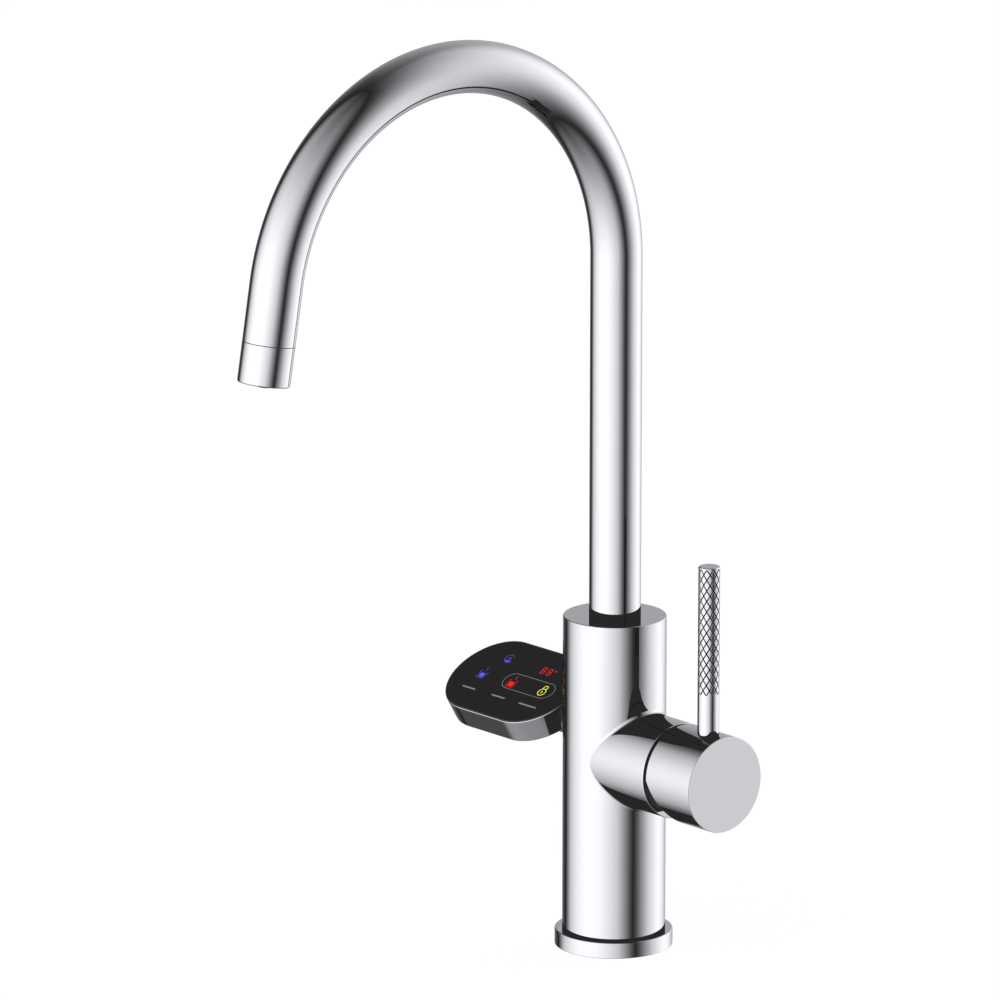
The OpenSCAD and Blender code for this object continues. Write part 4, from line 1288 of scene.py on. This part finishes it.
    def printed(self, skin: Skin) -> None:
        """Adds the outline round the two right-hand marks, and the plain bars.

        Args:
            skin: the skin that they go into.
        """
        left, right, low, high = self.pill
        r, w = (high - low) / 2, (high + low) / 2
        path = bend((right - r, w), r, -90, 90) + bend((left + r, w), r, 90, 270)
        self.stroke(skin, path, self.pill_line, closed=True)
        for u, length in self.bars:
            ends = [(u - length / 2, self.bar_y), (u + length / 2, self.bar_y)]
            self.stroke(skin, ends, self.bar_line)

    def build(self) -> None:
        """Builds the marks, one piece for each colour."""
        blue, red, yellow, figures, grey = (Skin() for _ in range(5))
        self.open_ring(blue)
        self.cup(blue, self.cups[0])
        self.cup(red, self.cups[1])
        self.lock(yellow)
        for at in self.digits:
            self.digit(figures, at)
        self.ring(figures, self.degree_at, *self.degree, 16)
        self.printed(grey)
        for skin, name, finish, slot in (
                (blue, "blue_marks", Finishes.BLUE_LIGHT, "light_guide"),
                (red, "red_mark", Finishes.RED_LIGHT, "light_guide"),
                (yellow, "yellow_mark", Finishes.YELLOW_LIGHT, "light_guide"),
                (figures, "digits", Finishes.RED_LIGHT, "red_display"),
                (grey, "printed_lines", Finishes.GREY_PRINT, "light_guide")):
            skin.build(name, finish, "tap_body", slot)


# ---- studio ----------------------------------------------------------------
@dataclass
class Studio:
    """White floor and two soft walls of light with dark seams between them."""

    dark: float = 0.15
    tint: Triple = (0.992, 0.997, 1.014)
    tint_power: float = 2.2
    # how far the left seam leans for directions that point steeply down, in degrees, and the
    # power of their steepness that it follows
    steep: float = 16.0
    steep_power: float = 4.0
    # light that has met more surfaces than this comes back with the last brightness
    late: float = 2.5
    late_light: Triple = (0.0205, 0.0205, 0.0205)
    floor_half: float = 30.0
    floor_tones: tuple[Triple, Triple] = ((0.10, 0.10, 0.10), (0.105, 0.105, 0.105))
    floor_glow: float = 0.975
    floor_grain: float = 3.0
    # brightness of the walls by direction, (degrees from -Y towards +X, brightness)
    walls: tuple[Point, ...] = (
        (0, 0.895), (15, 0.88), (30, 0.823), (45, 0.745), (58, 0.655), (70, 0.468), (79, 0.30),
        (85, 0.165), (92, 0.003), (98, 0.105), (104, 0.236), (112, 0.398), (130, 0.664),
        (140, 0.748), (155, 0.845), (165, 0.888), (178, 0.868), (190, 0.785), (208, 0.59),
        (230, 0.50), (242, 0.40), (252, 0.21), (262, 0.11), (268, 0.0), (273, 0.01), (281, 0.295),
        (288, 0.47), (294, 0.625), (302, 0.715), (318, 0.82), (335, 0.886), (360, 0.895),
    )

    def build_world(self) -> None:
        """Writes the world: white to the camera, soft walls to reflections, dark to late ones."""
        world = bpy.data.worlds.new("studio")
        bpy.context.scene.world = world
        nodes = Nodes(world)
        way = nodes.add("TexCoord").outputs["Generated"]
        x, y, z = nodes.add("SeparateXYZ", in_Vector=way).outputs[:3]
        back = nodes.math("MULTIPLY", y, -1.0)
        turn = nodes.math("DIVIDE", nodes.math("ARCTAN2", x, back), TURN)
        left = nodes.math("MAXIMUM", nodes.math("MULTIPLY", x, -self.steep / 360), 0.0)
        down = nodes.math("MAXIMUM", nodes.math("MULTIPLY", z, -1.0), 0.0)
        lean = nodes.math("MULTIPLY", nodes.math("POWER", down, self.steep_power), left)
        share = nodes.math("FRACT", nodes.math("ADD", nodes.math("ADD", turn, lean), 1.0))
        ramp = nodes.add("ValToRGB", in_Fac=share)
        self.fill(ramp.color_ramp)
        squares = nodes.math("ADD", nodes.math("MULTIPLY", x, x), nodes.math("MULTIPLY", y, y))
        level = nodes.math("SQRT", squares)
        lit = nodes.math("MULTIPLY", ramp.outputs[0], level)
        light = self.linear(nodes, nodes.math("ADD", lit, self.dark))
        tint = tuple(c ** self.tint_power for c in self.tint)
        tinted = nodes.add("VectorMath", operation="SCALE", in_0=tint, in_Scale=light)
        path = nodes.add("LightPath")
        late = nodes.math("GREATER_THAN", path.outputs["Ray Depth"], self.late)
        colour = nodes.blend(late, tinted.outputs[0], self.late_light)
        lights = nodes.add("Background", in_Color=colour)
        paper = nodes.add("Background", in_Color=(1, 1, 1, 1))
        mixed = nodes.add("MixShader", in_0=path.outputs["Is Camera Ray"],
                          in_1=lights.outputs[0], in_2=paper.outputs[0])
        nodes.add("OutputWorld", in_Surface=mixed.outputs[0])

    def fill(self, ramp: bpy.types.ColorRamp) -> None:
        """Writes the walls' brightness into a colour ramp.

        Args:
            ramp: the ramp, over one turn.
        """
        ramp.interpolation = "LINEAR"
        while len(ramp.elements) > 1:
            ramp.elements.remove(ramp.elements[-1])
        for i, (angle, value) in enumerate(self.walls):
            stop = ramp.elements[0] if i == 0 else ramp.elements.new(angle / 360)
            stop.position = angle / 360
            stop.color = (value, value, value, 1)

    @staticmethod
    def linear(nodes: Nodes, shown: Socket) -> Socket:
        """Turns a display brightness into linear light, by the usual display curve.

        Args:
            nodes: the world's nodes.
            shown: the brightness on the display.

        Returns:
            The linear light.
        """
        shift, power = 0.055, 2.4
        lifted = nodes.math("DIVIDE", nodes.math("ADD", shown, shift), 1 + shift)
        return nodes.math("POWER", lifted, power)

    def build_floor(self) -> None:
        """Lays the pale floor, which carries a faint contact shadow."""
        mesh = bpy.data.meshes.new("floor")
        h = self.floor_half
        mesh.from_pydata([(-h, -h, 0), (h, -h, 0), (h, h, 0), (-h, h, 0)], [], [(0, 1, 2, 3)])
        floor = bpy.data.objects.new("floor", mesh)
        bpy.context.scene.collection.objects.link(floor)
        floor.visible_glossy = False
        made = bpy.data.materials.new("pale_floor")
        nodes = Nodes(made)
        mottle = nodes.noise(nodes.object_point(), self.floor_grain)
        shader = nodes.add(
            "BsdfPrincipled", in_Base_Color=nodes.blend(mottle, *self.floor_tones),
            in_Roughness=1.0, in_Specular_IOR_Level=0.0, in_Emission_Color=(1, 1, 1, 1),
            in_Emission_Strength=self.floor_glow)
        nodes.add("OutputMaterial", in_Surface=shader.outputs[0])
        mesh.materials.append(made)
        floor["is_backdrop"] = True

    def build(self) -> None:
        """Builds the light and the floor, and shows colours as they are."""
        self.build_world()
        self.build_floor()
        bpy.context.scene.view_settings.view_transform = "Standard"


@dataclass
class Viewpoint:
    """The camera, placed as the photograph's. Metres and degrees."""

    place: Triple = (3.320318, -2.929460, 1.338722)
    azimuth: float = 49.26651
    elevation: float = 14.27145
    roll: float = 0.07685
    lens: float = 356.927
    sensor: float = 36.0
    clip: Point = (0.1, 100.0)

    def build(self) -> None:
        """Makes the camera and looks through it."""
        data = bpy.data.cameras.new("view")
        data.lens = self.lens
        data.sensor_width = self.sensor
        data.sensor_fit = "HORIZONTAL"
        data.clip_start, data.clip_end = self.clip
        camera = bpy.data.objects.new("view", data)
        bpy.context.scene.collection.objects.link(camera)
        a, e, r = map(math.radians, (self.azimuth, self.elevation, self.roll))
        back = Vector((math.sin(a) * math.cos(e), -math.cos(a) * math.cos(e), math.sin(e)))
        right = Vector((0, 0, 1)).cross(back).normalized()
        up = back.cross(right)
        turned = right * math.cos(r) + up * math.sin(r)
        upright = up * math.cos(r) - right * math.sin(r)
        matrix = Matrix((turned, upright, back)).transposed().to_4x4()
        matrix.translation = Vector(self.place)
        camera.matrix_world = matrix
        bpy.context.scene.camera = camera


def dress_nodes() -> None:
    """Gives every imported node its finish."""
    for finish, names in NODE_FINISHES.items():
        made = finish.value.material()
        for name in names.split():
            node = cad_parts[name]
            node.data.materials.clear()
            node.data.materials.append(made)
            LOG.info("%s: %s", name, made.name)


def corners() -> list[list[float]]:
    """Returns the shown object's lowest and highest corners as plain lists."""
    return [[float(v) for v in corner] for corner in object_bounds()]


def main() -> None:
    """Builds the tap's looks in order."""
    logging.basicConfig(level=logging.INFO, format="%(name)s: %(message)s")
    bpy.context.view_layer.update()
    Viewpoint().build()
    Studio().build()
    dress_nodes()
    for assembly in (Column(), Spout(), Handle(), TouchPanel(), LitMarks(TouchPanel())):
        assembly.build()


if __name__ == "__main__":
    main()
